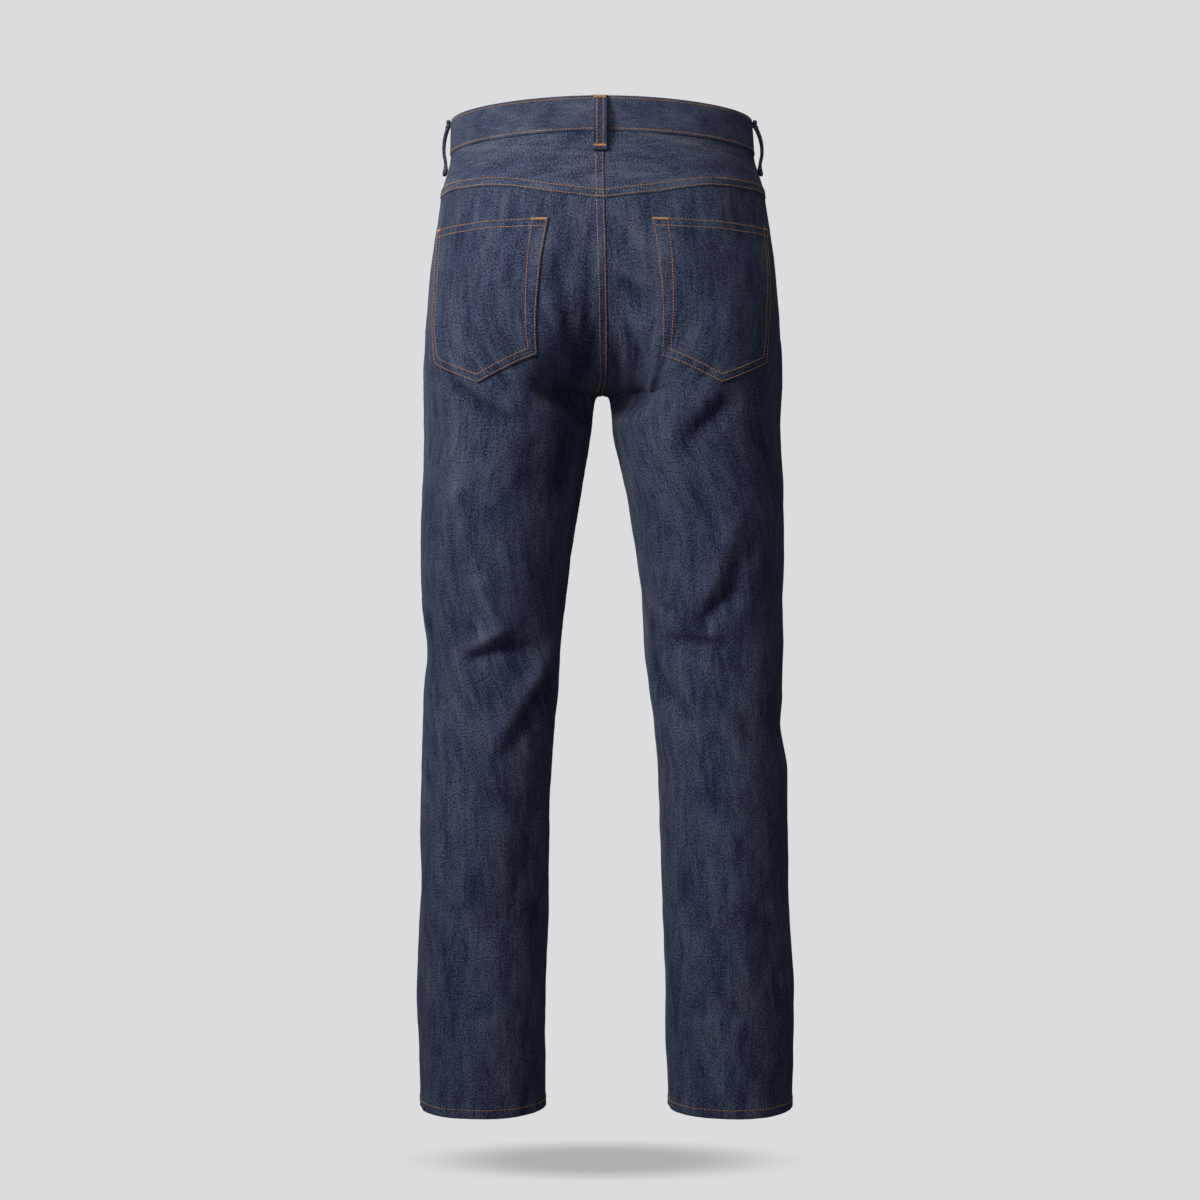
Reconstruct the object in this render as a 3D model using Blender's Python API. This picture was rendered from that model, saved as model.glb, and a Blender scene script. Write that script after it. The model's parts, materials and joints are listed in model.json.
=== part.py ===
"""Straight leg jeans in raw denim, filled out as if worn.

Frame: the origin is the middle of the waist opening, level with the top of
the waistband at the sides. +Z is up, -Y out of the garment's front and +X
towards the wearer's left. Lengths are metres. A place on the cloth is given
by its drop (how far below the waist it lies) and its turn (how far round the
half it lies: 0 at the outseam, 0.5 at the centre back, -0.5 at the centre
front, and both 0.5 and -0.5 at the inseam below the crotch).
"""
import math

import bmesh
import bpy
import numpy as np
from mathutils import Vector

# Cloth
CLOTH = 0.0015
HEM_CLOTH = 0.0030
HEM = 0.010
KNEE = 0.452
SEAM_GAP = 0.0003
INSEAM_END = 1.061

# Waistband and belt loops
BAND = 0.038
BAND_PROUD = 0.0006
BAND_CLOTH = 0.0024
BAND_LAP = 0.019
BAND_LAP_LIFT = 0.0028
BAND_LAP_RAMP = 0.022
BACK_WAIST_LIFT = 0.005
FRONT_WAIST_DIP = 0.020
LOOP_WIDTH = 0.015
LOOP_CLOTH = 0.0018
LOOP_TOP = 0.0005
LOOP_BOTTOM = 0.058
LOOP_CLEARANCE = 0.0012
HALF_FRONT = 0.215

# Crotch and rise: where the centre seams start to curve in, how much of their
# curve comes late, and how soon the inseams below them straighten and move out.
CROTCH = 0.294
CROTCH_Y = -0.015
BACK_RISE_TURN = 0.150
FRONT_RISE_TURN = 0.190
RISE_CURL = 0.363
FORK_SPREAD = 0.040
FORK_FULL = 0.305
FORK_SLOPE = 0.15
FORK_DRIFT = 0.15
FORK_BLEND = 0.008
ROUNDNESS = 0.58

# The waist's own dip and lift fade out below the waistband, and the fullest
# line moves out from the centre as the hips widen.
WAIST_LEVEL = 0.04
WAIST_FADE = 0.12
CREST_START = 0.03

# Points along each curve of a section, and the steps for measuring directions.
CURVE_POINTS = 33
STEP_ROUND = 0.001
STEP_TURN = 0.006
STEP_DROP = 0.0012

# Front pocket mouths, fly and button
SCOOP_WIDTH = 0.38
SCOOP_DEPTH = 0.077
FACING_END = 0.88
FLY_LINE = 0.85
FLY_END = 0.160
BUTTON_RADIUS = 0.0085
BUTTON_HEIGHT = 0.0040

POCKET_CLOTH = 0.0014

# Sections of the outline, one row for each drop: half widths to the outseam,
# insides of the legs, and the depths of the back, the front and the side seam.
SECTION_COLUMNS = ("drop", "left_out", "right_out", "left_in", "right_in", "back", "front", "side")
SECTION_ROWS = (
    (0.000, 0.1620, 0.1600, 0.0000, 0.0000, 0.1050, -0.1030, 0.0000),
    (0.040, 0.1632, 0.1630, 0.0000, 0.0000, 0.1100, -0.1060, 0.0000),
    (0.075, 0.1720, 0.1730, 0.0000, 0.0000, 0.1165, -0.1085, 0.0010),
    (0.110, 0.1770, 0.1780, 0.0000, 0.0000, 0.1220, -0.1105, 0.0030),
    (0.170, 0.1850, 0.1862, 0.0000, 0.0000, 0.1290, -0.1105, 0.0050),
    (0.235, 0.1905, 0.1915, 0.0000, 0.0000, 0.1260, -0.1080, 0.0030),
    (0.294, 0.1917, 0.1930, 0.0000, 0.0000, 0.1150, -0.1060, -0.0010),
    (0.2955, 0.1917, 0.1930, 0.0048, 0.0048, 0.1147, -0.1060, -0.0011),
    (0.298, 0.1917, 0.1930, 0.0068, 0.0068, 0.1142, -0.1059, -0.0012),
    (0.305, 0.1917, 0.1930, 0.0085, 0.0085, 0.1127, -0.1057, -0.0015),
    (0.340, 0.1922, 0.1925, 0.0135, 0.0135, 0.1050, -0.1045, -0.0030),
    (0.410, 0.1950, 0.1960, 0.0245, 0.0268, 0.0915, -0.1010, -0.0060),
    (0.470, 0.1960, 0.1960, 0.0350, 0.0363, 0.0810, -0.0975, -0.0080),
    (0.520, 0.1947, 0.1938, 0.0409, 0.0430, 0.0740, -0.0945, -0.0095),
    (0.570, 0.1895, 0.1960, 0.0448, 0.0470, 0.0690, -0.0907, -0.0100),
    (0.620, 0.1935, 0.1952, 0.0488, 0.0520, 0.0655, -0.0870, -0.0095),
    (0.651, 0.1949, 0.1925, 0.0520, 0.0553, 0.0643, -0.0845, -0.0090),
    (0.700, 0.1955, 0.1990, 0.0553, 0.0596, 0.0635, -0.0805, -0.0075),
    (0.800, 0.1965, 0.2008, 0.0578, 0.0637, 0.0648, -0.0740, -0.0040),
    (0.950, 0.1993, 0.2057, 0.0610, 0.0676, 0.0680, -0.0670, 0.0000),
    (1.061, 0.1960, 0.2045, 0.0621, 0.0708, 0.0705, -0.0640, 0.0030),
)
SECTION = dict(zip(SECTION_COLUMNS, np.array(SECTION_ROWS).T))

# How far each leg's seams wind towards the back, in turns.
TWIST_COLUMNS = ("drop", "left", "right")
TWIST_ROWS = (
    (0.350, 0.000, 0.000),
    (0.430, 0.000, -0.045),
    (0.500, 0.020, -0.050),
    (0.585, 0.070, -0.055),
    (0.660, 0.125, -0.060),
    (0.720, 0.145, -0.062),
    (0.820, 0.158, -0.064),
    (1.061, 0.165, -0.065),
)
TWIST = dict(zip(TWIST_COLUMNS, np.array(TWIST_ROWS).T))

# The largest folds, each a straight stretch from one place to another: the
# leg, its start and end, its half width, and its height (troughs below zero).
FOLD_COLUMNS = ("leg", "turn", "drop", "end_turn", "end_drop", "width", "height")
FOLD_ROWS = (
    ("left", 0.135, 0.300, 0.175, 0.405, 0.016, 0.0030),
    ("left", 0.175, 0.405, 0.230, 0.500, 0.015, 0.0035),
    ("left", 0.230, 0.500, 0.268, 0.548, 0.013, 0.0040),
    ("left", 0.265, 0.552, 0.205, 0.566, 0.010, 0.0030),
    ("left", 0.205, 0.578, 0.275, 0.568, 0.010, -0.0050),
    ("left", 0.275, 0.568, 0.360, 0.568, 0.012, -0.0040),
    ("left", 0.405, 0.572, 0.362, 0.600, 0.014, 0.0040),
    ("left", 0.362, 0.600, 0.285, 0.665, 0.015, 0.0045),
    ("left", 0.405, 0.610, 0.310, 0.672, 0.015, -0.0065),
    ("left", 0.168, 0.297, 0.242, 0.333, 0.012, -0.0030),
    ("right", 0.205, 0.316, 0.262, 0.350, 0.014, -0.0040),
    ("right", 0.247, 0.303, 0.302, 0.345, 0.014, 0.0030),
    ("right", 0.212, 0.440, 0.258, 0.508, 0.015, 0.0040),
    ("right", 0.195, 0.472, 0.218, 0.510, 0.013, -0.0040),
    ("right", 0.218, 0.510, 0.285, 0.540, 0.013, -0.0050),
    ("right", 0.350, 0.558, 0.250, 0.564, 0.010, -0.0030),
    ("right", 0.250, 0.564, 0.230, 0.588, 0.009, -0.0025),
    ("right", 0.420, 0.590, 0.322, 0.645, 0.012, -0.0050),
    ("right", 0.375, 0.588, 0.305, 0.660, 0.014, 0.0035),
    ("left", -0.380, 0.400, -0.230, 0.330, 0.016, 0.0035),
    ("left", -0.360, 0.560, -0.200, 0.585, 0.012, -0.0040),
    ("left", -0.240, 0.620, -0.120, 0.660, 0.014, 0.0035),
    ("right", -0.390, 0.410, -0.240, 0.335, 0.016, 0.0035),
    ("right", -0.180, 0.570, -0.330, 0.590, 0.012, -0.0040),
    ("right", -0.250, 0.640, -0.150, 0.690, 0.014, 0.0035),
)
FOLDS = [dict(zip(FOLD_COLUMNS, row)) for row in FOLD_ROWS]
LEG_GIRTH = 0.48

LEFT, RIGHT = 1, -1
SIDE_NAMES = {LEFT: "left", RIGHT: "right"}

# The back panel's guide lines: outseam, pocket's outer edge, its point, its
# inner edge, centre seam. Shares of the way round come first, then drops.
BACK_LINES = (0, 1, 3, 3, 3)
BACK_GUIDES = (
    (0, 0.00, 0.163, 0.46, 0.787, 1.00, 0.0850, 0.0850, 0.0878, 0.1003, 0.1070),
    (2, 0.00, 0.163, 0.407, 0.787, 1.00, 0.1240, 0.1240, 0.1260, 0.1255, 0.1300),
    (5, 0.00, 0.253, 0.416, 0.678, 1.00, 0.2680, 0.2696, 0.2929, 0.2621, 0.2750),
    (2, 0.00, 0.220, 0.40, 0.66, 1.00, 0.3100, 0.3100, 0.3220, 0.3020, 0.2940),
    (1, 0.00, 0.200, 0.40, 0.66, 1.00, 0.3160, 0.3160, 0.3270, 0.3080, 0.2990),
    (1, 0.00, 0.180, 0.40, 0.66, 1.00, 0.3300, 0.3300, 0.3380, 0.3220, 0.3120),
    (1, 0.00, 0.160, 0.40, 0.66, 1.00, 0.3500, 0.3500, 0.3550, 0.3460, 0.3400),
    (2, 0.00, 0.130, 0.40, 0.66, 1.00, 0.4000, 0.4000, 0.4000, 0.4000, 0.4000),
    (5, 0.00, 0.130, 0.40, 0.66, 1.00, 0.5300, 0.5300, 0.5300, 0.5300, 0.5300),
    (10, 0.00, 0.130, 0.40, 0.66, 1.00, 0.7000, 0.7000, 0.7000, 0.7000, 0.7000),
    (8, 0.00, 0.130, 0.40, 0.66, 1.00, 1.0505, 1.0505, 1.0505, 1.0505, 1.0505),
    (1, 0.00, 0.130, 0.40, 0.66, 1.00, 1.0515, 1.0515, 1.0515, 1.0515, 1.0515),
    (1, 0.00, 0.130, 0.40, 0.66, 1.00, 1.0610, 1.0610, 1.0610, 1.0610, 1.0610),
)
POCKET_SHIFT = 0.012
POCKET_ROWS = slice(2, 8)
POCKET_COLUMNS = slice(1, 8)

# The front panel's guide lines: outseam or pocket mouth, fly line, centre seam.
FRONT_LINES = (0, 7, 2)
SCOOP_STEPS = 4
FRONT_GUIDES = (
    (6, 0.00, 0.85, 1.00, 0.2950, 0.2940, 0.2940),
    (1, 0.00, 0.85, 1.00, 0.3050, 0.3000, 0.2990),
    (1, 0.00, 0.85, 1.00, 0.3200, 0.3140, 0.3120),
    (1, 0.00, 0.85, 1.00, 0.3500, 0.3420, 0.3400),
    (2, 0.00, 0.85, 1.00, 0.4000, 0.4000, 0.4000),
    (5, 0.00, 0.85, 1.00, 0.5300, 0.5300, 0.5300),
    (10, 0.00, 0.85, 1.00, 0.7000, 0.7000, 0.7000),
    (8, 0.00, 0.85, 1.00, 1.0505, 1.0505, 1.0505),
    (1, 0.00, 0.85, 1.00, 1.0515, 1.0515, 1.0515),
    (1, 0.00, 0.85, 1.00, 1.0610, 1.0610, 1.0610),
)

# The belt loops: the name, the side, the turn and the room for a belt.
BELT_LOOPS = (
    ("belt_loop_back", LEFT, 0.494, 0.0066),
    ("belt_loop_side_left", LEFT, 0.010, 0.0056),
    ("belt_loop_side_right", RIGHT, 0.010, 0.0076),
    ("belt_loop_front_left", LEFT, -0.385, 0.0086),
    ("belt_loop_front_right", RIGHT, -0.385, 0.0086),
)

DENIM = {"colour": (0.052, 0.060, 0.098, 1.0), "roughness": 0.85, "metallic": 0.0}
METAL = {"colour": (0.42, 0.40, 0.37, 1.0), "roughness": 0.35, "metallic": 1.0}


def ease(share):
    """Smooth step from 0 to 1."""
    share = min(max(share, 0.0), 1.0)
    return share * share * (3.0 - 2.0 * share)


def through(places, values, place):
    """Cubic through the points, with slopes that never overshoot."""
    k = int(np.clip(np.searchsorted(places, place) - 1, 0, len(places) - 2))
    steps = np.diff(values) / np.diff(places)

    def slope(i):
        if i == 0 or i == len(places) - 1:
            return steps[min(i, len(steps) - 1)]
        before, after = steps[i - 1], steps[i]
        return 0.0 if before * after <= 0.0 else 2.0 * before * after / (before + after)

    span = places[k + 1] - places[k]
    t = min(max((place - places[k]) / span, 0.0), 1.0)
    return (
        values[k] * (1.0 + 2.0 * t) * (1.0 - t) ** 2
        + values[k + 1] * t * t * (3.0 - 2.0 * t)
        + span * t * (1.0 - t) * ((1.0 - t) * slope(k) - t * slope(k + 1))
    )


def measure(column, drop):
    """One size of the garment at a drop."""
    return through(SECTION["drop"], SECTION[column], drop)


def bezier(start, leave, arrive, end):
    """Points along a cubic curve."""
    t = np.linspace(0.0, 1.0, CURVE_POINTS)[:, None]
    return (
        (1 - t) ** 3 * np.array(start)
        + 3 * t * (1 - t) ** 2 * np.array(leave)
        + 3 * t * t * (1 - t) * np.array(arrive)
        + t ** 3 * np.array(end)
    )


def centre_seam(side, back, drop):
    """Where a section ends: its x, y and z, and the angle at which it arrives."""
    turn_in = BACK_RISE_TURN if back else FRONT_RISE_TURN
    depth = "back" if back else "front"
    if drop <= turn_in:
        return 0.0, measure(depth, drop), -drop, 0.0
    if drop <= CROTCH:
        share = (drop - turn_in) / (CROTCH - turn_in)
        swing = 0.5 * math.pi * share * (1.0 - RISE_CURL + RISE_CURL * share)
        y = CROTCH_Y + (measure(depth, turn_in) - CROTCH_Y) * math.cos(swing)
        z = -turn_in - (CROTCH - turn_in) * math.sin(swing)
        return 0.0, y, z, 0.25 * math.pi * share
    x = measure(SIDE_NAMES[side] + "_in", drop)
    y = CROTCH_Y + (measure("side", drop) - CROTCH_Y) * ease((drop - CROTCH) / FORK_DRIFT)
    return x, y, -drop, 0.25 * math.pi * (1.0 + ease((drop - CROTCH) / FORK_SPREAD))


def crest(side, drop):
    """How far out the fullest line of the back and the front lies."""
    name = SIDE_NAMES[side]
    fork = max(drop, FORK_FULL)
    inside = measure(name + "_in", fork) - FORK_SLOPE * (fork - drop)
    middle = 0.5 * (measure(name + "_out", drop) + max(inside, 0.0))
    return middle * ease((drop - CREST_START) / (CROTCH - CREST_START))


def section(side, back, drop):
    """One half section, from the outseam round to the centre seam or inseam."""
    facing = 1.0 if back else -1.0
    out_x = measure(SIDE_NAMES[side] + "_out", drop)
    out_y = measure("side", drop)
    end_x, end_y, end_z, angle = centre_seam(side, back, drop)
    full_y = measure("back" if back else "front", drop)
    full_x = crest(side, drop)
    rise = abs(full_y - out_y) * ROUNDNESS * facing
    outer = bezier(
        (out_x, out_y), (out_x, out_y + rise),
        (full_x + (out_x - full_x) * ROUNDNESS, full_y), (full_x, full_y))
    across, deep = full_x - end_x, abs(full_y - end_y)
    reach = ROUNDNESS * (across * math.cos(angle) + deep * math.sin(angle))
    arrive = (end_x + reach * math.cos(angle), end_y + facing * reach * math.sin(angle))
    inner = bezier(
        (full_x, full_y), (full_x - across * ROUNDNESS, full_y), arrive, (end_x, end_y))
    line = np.vstack([outer, inner[1:]])
    way = np.linspace(0.0, 1.0, CURVE_POINTS)
    sink = np.concatenate([np.zeros(CURVE_POINTS - 1), way * way * (3.0 - 2.0 * way)])
    share = walk(line) / walk(line)[-1]
    waist = BACK_WAIST_LIFT if back else -FRONT_WAIST_DIP
    fade = 1.0 - ease((drop - WAIST_LEVEL) / WAIST_FADE)
    lift = waist * fade * np.sin(0.5 * np.pi * share) ** 2
    height = -drop + lift + (end_z + drop) * sink
    return np.column_stack([side * line[:, 0], line[:, 1], height])


def walk(line):
    """Length walked along a line of points, from its first."""
    return np.concatenate([[0.0], np.cumsum(np.linalg.norm(np.diff(line, axis=0), axis=1))])


def point_at(line, length, place):
    """The point at a place along a line of points."""
    return np.array([np.interp(place, length, line[:, axis]) for axis in range(3)])


def fold_height(side, turn, drop):
    """How far the folds push the cloth out at a place on one leg."""
    height = 0.0
    for fold in FOLDS:
        if fold["leg"] != SIDE_NAMES[side]:
            continue
        run = np.array([fold["end_turn"] - fold["turn"], fold["end_drop"] - fold["drop"]])
        run[0] *= LEG_GIRTH
        over = (turn - fold["turn"] + 0.5) % 1.0 - 0.5
        here = np.array([over * LEG_GIRTH, drop - fold["drop"]])
        part = min(max(here.dot(run) / run.dot(run), 0.0), 1.0)
        away = np.linalg.norm(here - part * run) / fold["width"]
        height += fold["height"] * math.exp(-away * away)
    return height


def skin(side, turn, drop):
    """A point on the smooth outer face, its seams closed."""
    if abs(turn) > 0.5:
        if drop < CROTCH:
            side, turn = -side, math.copysign(1.0, turn) - turn
        else:
            turn -= math.copysign(1.0, turn)
    line = section(side, turn >= 0.0, drop)
    length = walk(line)
    place = 2.0 * abs(turn) * length[-1]
    behind = point_at(line, length, place - STEP_ROUND)
    ahead = point_at(line, length, place + STEP_ROUND) - behind
    out = side * math.copysign(1.0, turn) * np.array([ahead[1], -ahead[0], 0.0])
    out /= np.linalg.norm(out)
    return point_at(line, length, place) + out * fold_height(side, turn, drop)


def outward(side, turn, drop):
    """The direction straight out of the smooth face."""
    round_it = skin(side, turn + STEP_TURN, drop) - skin(side, turn - STEP_TURN, drop)
    down = skin(side, turn, drop + STEP_DROP) - skin(side, turn, drop - STEP_DROP)
    normal = side * np.cross(down, round_it)
    normal /= np.linalg.norm(normal)
    crotch = np.array([0.0, CROTCH_Y, -CROTCH])
    away = np.linalg.norm(skin(side, turn, drop) - crotch) / FORK_BLEND
    near = math.exp(-away * away)
    normal = (1.0 - near) * normal + near * np.array([0.0, 0.0, -1.0])
    return normal / np.linalg.norm(normal)


def twist(side, drop):
    """How far the leg's seams have wound towards the back, in turns."""
    if drop < TWIST["drop"][0]:
        return 0.0
    return through(TWIST["drop"], TWIST[SIDE_NAMES[side]], drop)


def lattice(lines, rows):
    """Share and drop at every crossing of a panel's grid.

    lines holds the number of columns before each guide line. Each row of rows
    holds its number of grid rows below the one above, then a share of the way
    round for every guide line and then a drop for every guide line.
    """
    count = len(lines)
    places = np.cumsum(lines)
    across = np.arange(places[-1] + 1)
    shares, drops = [], []
    before = None
    for steps, *values in rows:
        share = np.interp(across, places, values[:count])
        drop = np.interp(across, places, values[count:])
        if before is None:
            shares.append(share)
            drops.append(drop)
        else:
            for step in range(1, steps + 1):
                part = step / steps
                shares.append(before[0] + (share - before[0]) * part)
                drops.append(before[1] + (drop - before[1]) * part)
        before = (share, drop)
    return np.array(shares), np.array(drops)


def lay(side, back, shares, drops):
    """Points and outward directions on the skin at a grid of places."""
    facing = 0.5 if back else -0.5
    points = np.empty(shares.shape + (3,))
    normals = np.empty(shares.shape + (3,))
    for place in np.ndindex(shares.shape):
        drop = drops[place]
        turn = twist(side, drop) + facing * shares[place]
        points[place] = skin(side, turn, drop)
        normals[place] = outward(side, turn, drop)
    return points, normals


def pull_in(points, gap=0.5 * SEAM_GAP):
    """Move a grid's edges in by half a seam's gap."""
    pulled = points.copy()
    for edge, inside in ((0, 1), (-1, -2)):
        way = points[inside] - points[edge]
        pulled[edge] += gap * way / np.linalg.norm(way, axis=1)[:, None]
    for edge, inside in ((0, 1), (-1, -2)):
        way = points[:, inside] - points[:, edge]
        pulled[:, edge] += gap * way / np.linalg.norm(way, axis=1)[:, None]
    return pulled


def material(name, finish):
    """A Principled material with one finish."""
    made = bpy.data.materials.new(name)
    made.use_nodes = True
    shader = made.node_tree.nodes["Principled BSDF"]
    shader.inputs["Base Color"].default_value = finish["colour"]
    shader.inputs["Roughness"].default_value = finish["roughness"]
    shader.inputs["Metallic"].default_value = finish["metallic"]
    made.diffuse_color = finish["colour"]
    return made


def add_object(name, shape, collection, finish):
    """Turn a bmesh into a named object with its own material."""
    mesh = bpy.data.meshes.new(name)
    shape.to_mesh(mesh)
    shape.free()
    thing = bpy.data.objects.new(name, mesh)
    mesh.materials.append(material(name, finish))
    collection.objects.link(thing)
    return thing


def cloth(name, outer, inner, collection):
    """A closed sheet of cloth between an outer and an inner grid of points."""
    rows, columns = outer.shape[0] - 1, outer.shape[1] - 1
    shape = bmesh.new()
    bmesh.ops.create_grid(shape, x_segments=columns, y_segments=rows, size=0.5)
    bmesh.ops.triangulate(shape, faces=shape.faces[:], quad_method="FIXED")
    grown = bmesh.ops.extrude_face_region(shape, geom=shape.faces[:], use_keep_orig=True)
    lining = {item for item in grown["geom"] if isinstance(item, bmesh.types.BMVert)}
    for vertex in shape.verts:
        row = round((vertex.co.y + 0.5) * rows)
        column = round((vertex.co.x + 0.5) * columns)
        face = inner if vertex in lining else outer
        vertex.co = face[row, column]
    bmesh.ops.recalc_face_normals(shape, faces=shape.faces[:])
    if shape.calc_volume(signed=True) < 0.0:
        bmesh.ops.reverse_faces(shape, faces=shape.faces[:])
    return add_object(name, shape, collection, DENIM)


def wall(drops):
    """The cloth's thickness at each place, doubled in the turned-up hem."""
    return np.where(drops > INSEAM_END - HEM, HEM_CLOTH, CLOTH)[..., None]


def scoop(step, inset=0.0):
    """Share and drop of the pocket mouth's edge, from the waistband down."""
    swing = 0.5 * math.pi * step / SCOOP_STEPS
    return SCOOP_WIDTH * math.cos(swing), BAND + (SCOOP_DEPTH - inset) * math.sin(swing)


def front_lattice():
    """The front panel's grid, its upper rows starting at the pocket mouth."""
    rows = []
    for step in range(SCOOP_STEPS + 1):
        share, drop = scoop(step)
        rows.append((min(step, 1), share, FLY_LINE, 1.0, drop, drop, drop))
    return lattice(FRONT_LINES, rows + list(FRONT_GUIDES))


def leg_panel(name, side, points, normals, drops, collection):
    """A leg panel's cloth, parted at the knee into two solids that bend less."""
    knee = int(np.argmax(drops[:, 0] >= KNEE - SEAM_GAP))
    for part, rows in (("thigh", slice(0, knee + 1)), ("calf", slice(knee, None))):
        outer = pull_in(points[rows])
        inner = outer - normals[rows] * wall(drops[rows])
        cloth(f"{name}_{part}_{SIDE_NAMES[side]}", outer, inner, collection)


def back_panels(side, collection):
    """A back leg panel, its yoke and its patch pocket."""
    name = SIDE_NAMES[side]
    shares, drops = lattice(BACK_LINES, BACK_GUIDES)
    shares[POCKET_ROWS.start:POCKET_ROWS.stop, POCKET_COLUMNS] -= side * POCKET_SHIFT
    points, normals = lay(side, True, shares, drops)
    leg_panel("back", side, points, normals, drops, collection)

    patch = (POCKET_ROWS, POCKET_COLUMNS)
    under = points[patch] + normals[patch] * SEAM_GAP
    over = points[patch] + normals[patch] * (SEAM_GAP + POCKET_CLOTH)
    cloth("back_pocket_" + name, over, under, collection)

    seam_share, seam_drop = shares[0], drops[0]
    fan = np.linspace(0.0, 1.0, 4)[:, None]
    yoke_shares = np.repeat(seam_share[None, :], 4, axis=0)
    yoke_drops = BAND + (seam_drop[None, :] - BAND) * fan
    points, normals = lay(side, True, yoke_shares, yoke_drops)
    outer = pull_in(points)
    cloth("yoke_" + name, outer, outer - normals * CLOTH, collection)


def front_panels(side, collection):
    """A front leg panel and the hip piece that shows in its pocket mouth."""
    name = SIDE_NAMES[side]
    shares, drops = front_lattice()
    points, normals = lay(side, False, shares, drops)
    leg_panel("front", side, points, normals, drops, collection)

    edges = np.array([scoop(step, SEAM_GAP) for step in range(SCOOP_STEPS + 1)])
    edges[-1] = edges[-2] + FACING_END * (edges[-1] - edges[-2])
    across = np.linspace(0.0, 1.0, 5)
    shares = edges[:, :1] * across
    drops = np.repeat(edges[:, 1:], 5, axis=1)
    points, normals = lay(side, False, shares, drops)
    outer = pull_in(points)
    cloth("pocket_facing_" + name, outer, outer - normals * CLOTH, collection)


def waistband(collection):
    """One strip round the waist, the wearer's left end lapped over the right."""
    ahead = [(LEFT, turn) for turn in np.linspace(-0.5, 0.5, 27)]
    behind = [(RIGHT, turn) for turn in np.linspace(0.5, -0.5, 27)]
    lap = BAND_LAP / HALF_FRONT
    under = [(LEFT, -0.5 + 0.5 * lap), (LEFT, -0.5 + 0.25 * lap)]
    over = [(RIGHT, -0.5 + 0.5 * lap), (RIGHT, -0.5 + 0.25 * lap)]
    route = over + ahead + behind[1:] + under[::-1]
    walked = 0.0
    outer, inner = [], []
    before = None
    for side, turn in route:
        here = skin(side, turn, 0.0)
        walked += 0.0 if before is None else np.linalg.norm(here - before)
        before = here
        ramp = (walked - 2.0 * BAND_LAP) / BAND_LAP_RAMP
        raised = BAND_PROUD + BAND_LAP_LIFT * (1.0 - ease(ramp))
        drops = (0.0, 0.5 * BAND, BAND)
        points = np.array([skin(side, turn, drop) for drop in drops])
        normals = np.array([outward(side, turn, 0.5 * BAND)] * 3)
        outer.append(points + normals * raised)
        inner.append(points + normals * (raised - BAND_CLOTH))
    outer = pull_in(np.array(outer))
    inner = pull_in(np.array(inner))
    cloth("waistband", outer, inner, collection)


def belt_loop(name, side, turn, belt_gap, collection):
    """A folded strip that stands off the waistband, leaving room for a belt."""
    out = outward(side, turn, 0.5 * BAND)
    out[2] = 0.0
    out /= np.linalg.norm(out)
    along = np.array([-out[1], out[0], 0.0]) * 0.5 * LOOP_WIDTH
    outer, inner = [], []
    for part in np.linspace(0.0, 1.0, 15):
        drop = LOOP_TOP + (LOOP_BOTTOM - LOOP_TOP) * part
        off = LOOP_CLEARANCE + belt_gap * ease(part / 0.3) * ease((1.0 - part) / 0.3)
        middle = skin(side, turn, drop) + out * off
        inner.append([middle - along, middle + along])
        outer.append([middle - along + out * LOOP_CLOTH, middle + along + out * LOOP_CLOTH])
    cloth(name, np.array(outer), np.array(inner), collection)


def fly_shield(collection):
    """The strip behind the fly opening, sewn along the right front's edge."""
    shares, drops = lattice((0, 2), (
        (0, FLY_LINE, 1.0, BAND + 0.001, BAND + 0.001),
        (6, FLY_LINE, 1.0, FLY_END, FLY_END),
    ))
    points, normals = lay(LEFT, False, shares, drops)
    face = points - normals * (CLOTH + SEAM_GAP)
    cloth("fly_shield", face, face - normals * CLOTH, collection)


def waist_button(collection):
    """A domed metal button on the waistband's lapped end."""
    out = outward(LEFT, -0.5, 0.5 * BAND)
    face = skin(LEFT, -0.5, 0.5 * BAND)
    face = face + out * (BAND_PROUD + BAND_LAP_LIFT + SEAM_GAP)
    shape = bmesh.new()
    bmesh.ops.create_cone(
        shape, cap_ends=True, segments=24, depth=BUTTON_HEIGHT,
        radius1=0.8 * BUTTON_RADIUS, radius2=BUTTON_RADIUS)
    rim = [edge for edge in shape.edges if all(v.co.z > 0.0 for v in edge.verts)]
    bmesh.ops.bevel(
        shape, geom=rim, offset=0.35 * BUTTON_HEIGHT, segments=3, profile=0.5,
        affect="EDGES")
    button = add_object("waist_button", shape, collection, METAL)
    button.data.set_sharp_from_angle(angle=math.radians(40.0))
    button.location = face + out * 0.5 * BUTTON_HEIGHT
    button.rotation_euler = Vector(out).to_track_quat("Z", "Y").to_euler()


def main():
    for thing in list(bpy.data.objects):
        bpy.data.objects.remove(thing)
    jeans = bpy.data.collections.new("straight_leg_jeans")
    bpy.context.scene.collection.children.link(jeans)
    for side in (LEFT, RIGHT):
        back_panels(side, jeans)
        front_panels(side, jeans)
    waistband(jeans)
    for name, side, turn, belt_gap in BELT_LOOPS:
        belt_loop(name, side, turn, belt_gap, jeans)
    fly_shield(jeans)
    waist_button(jeans)


main()
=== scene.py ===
"""Straight leg jeans: cloth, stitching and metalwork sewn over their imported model.

Laid out as an add-on and run as a script. Each piece of cloth is a thin shell
that lies on the shape of its solid. A place on the cloth is given by its drop
(how far below the waist it lies) and its turn (how far round one side it lies:
0 at the outseam, 0.5 at the centre back, -0.5 at the centre front). A place on
a panel is given by its share instead: 0 at the outseam, 1 at the centre seam
or inseam. Lengths are metres.
"""
import json
import math

import bmesh
import bpy
import numpy as np
from mathutils import Matrix, Vector

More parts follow.
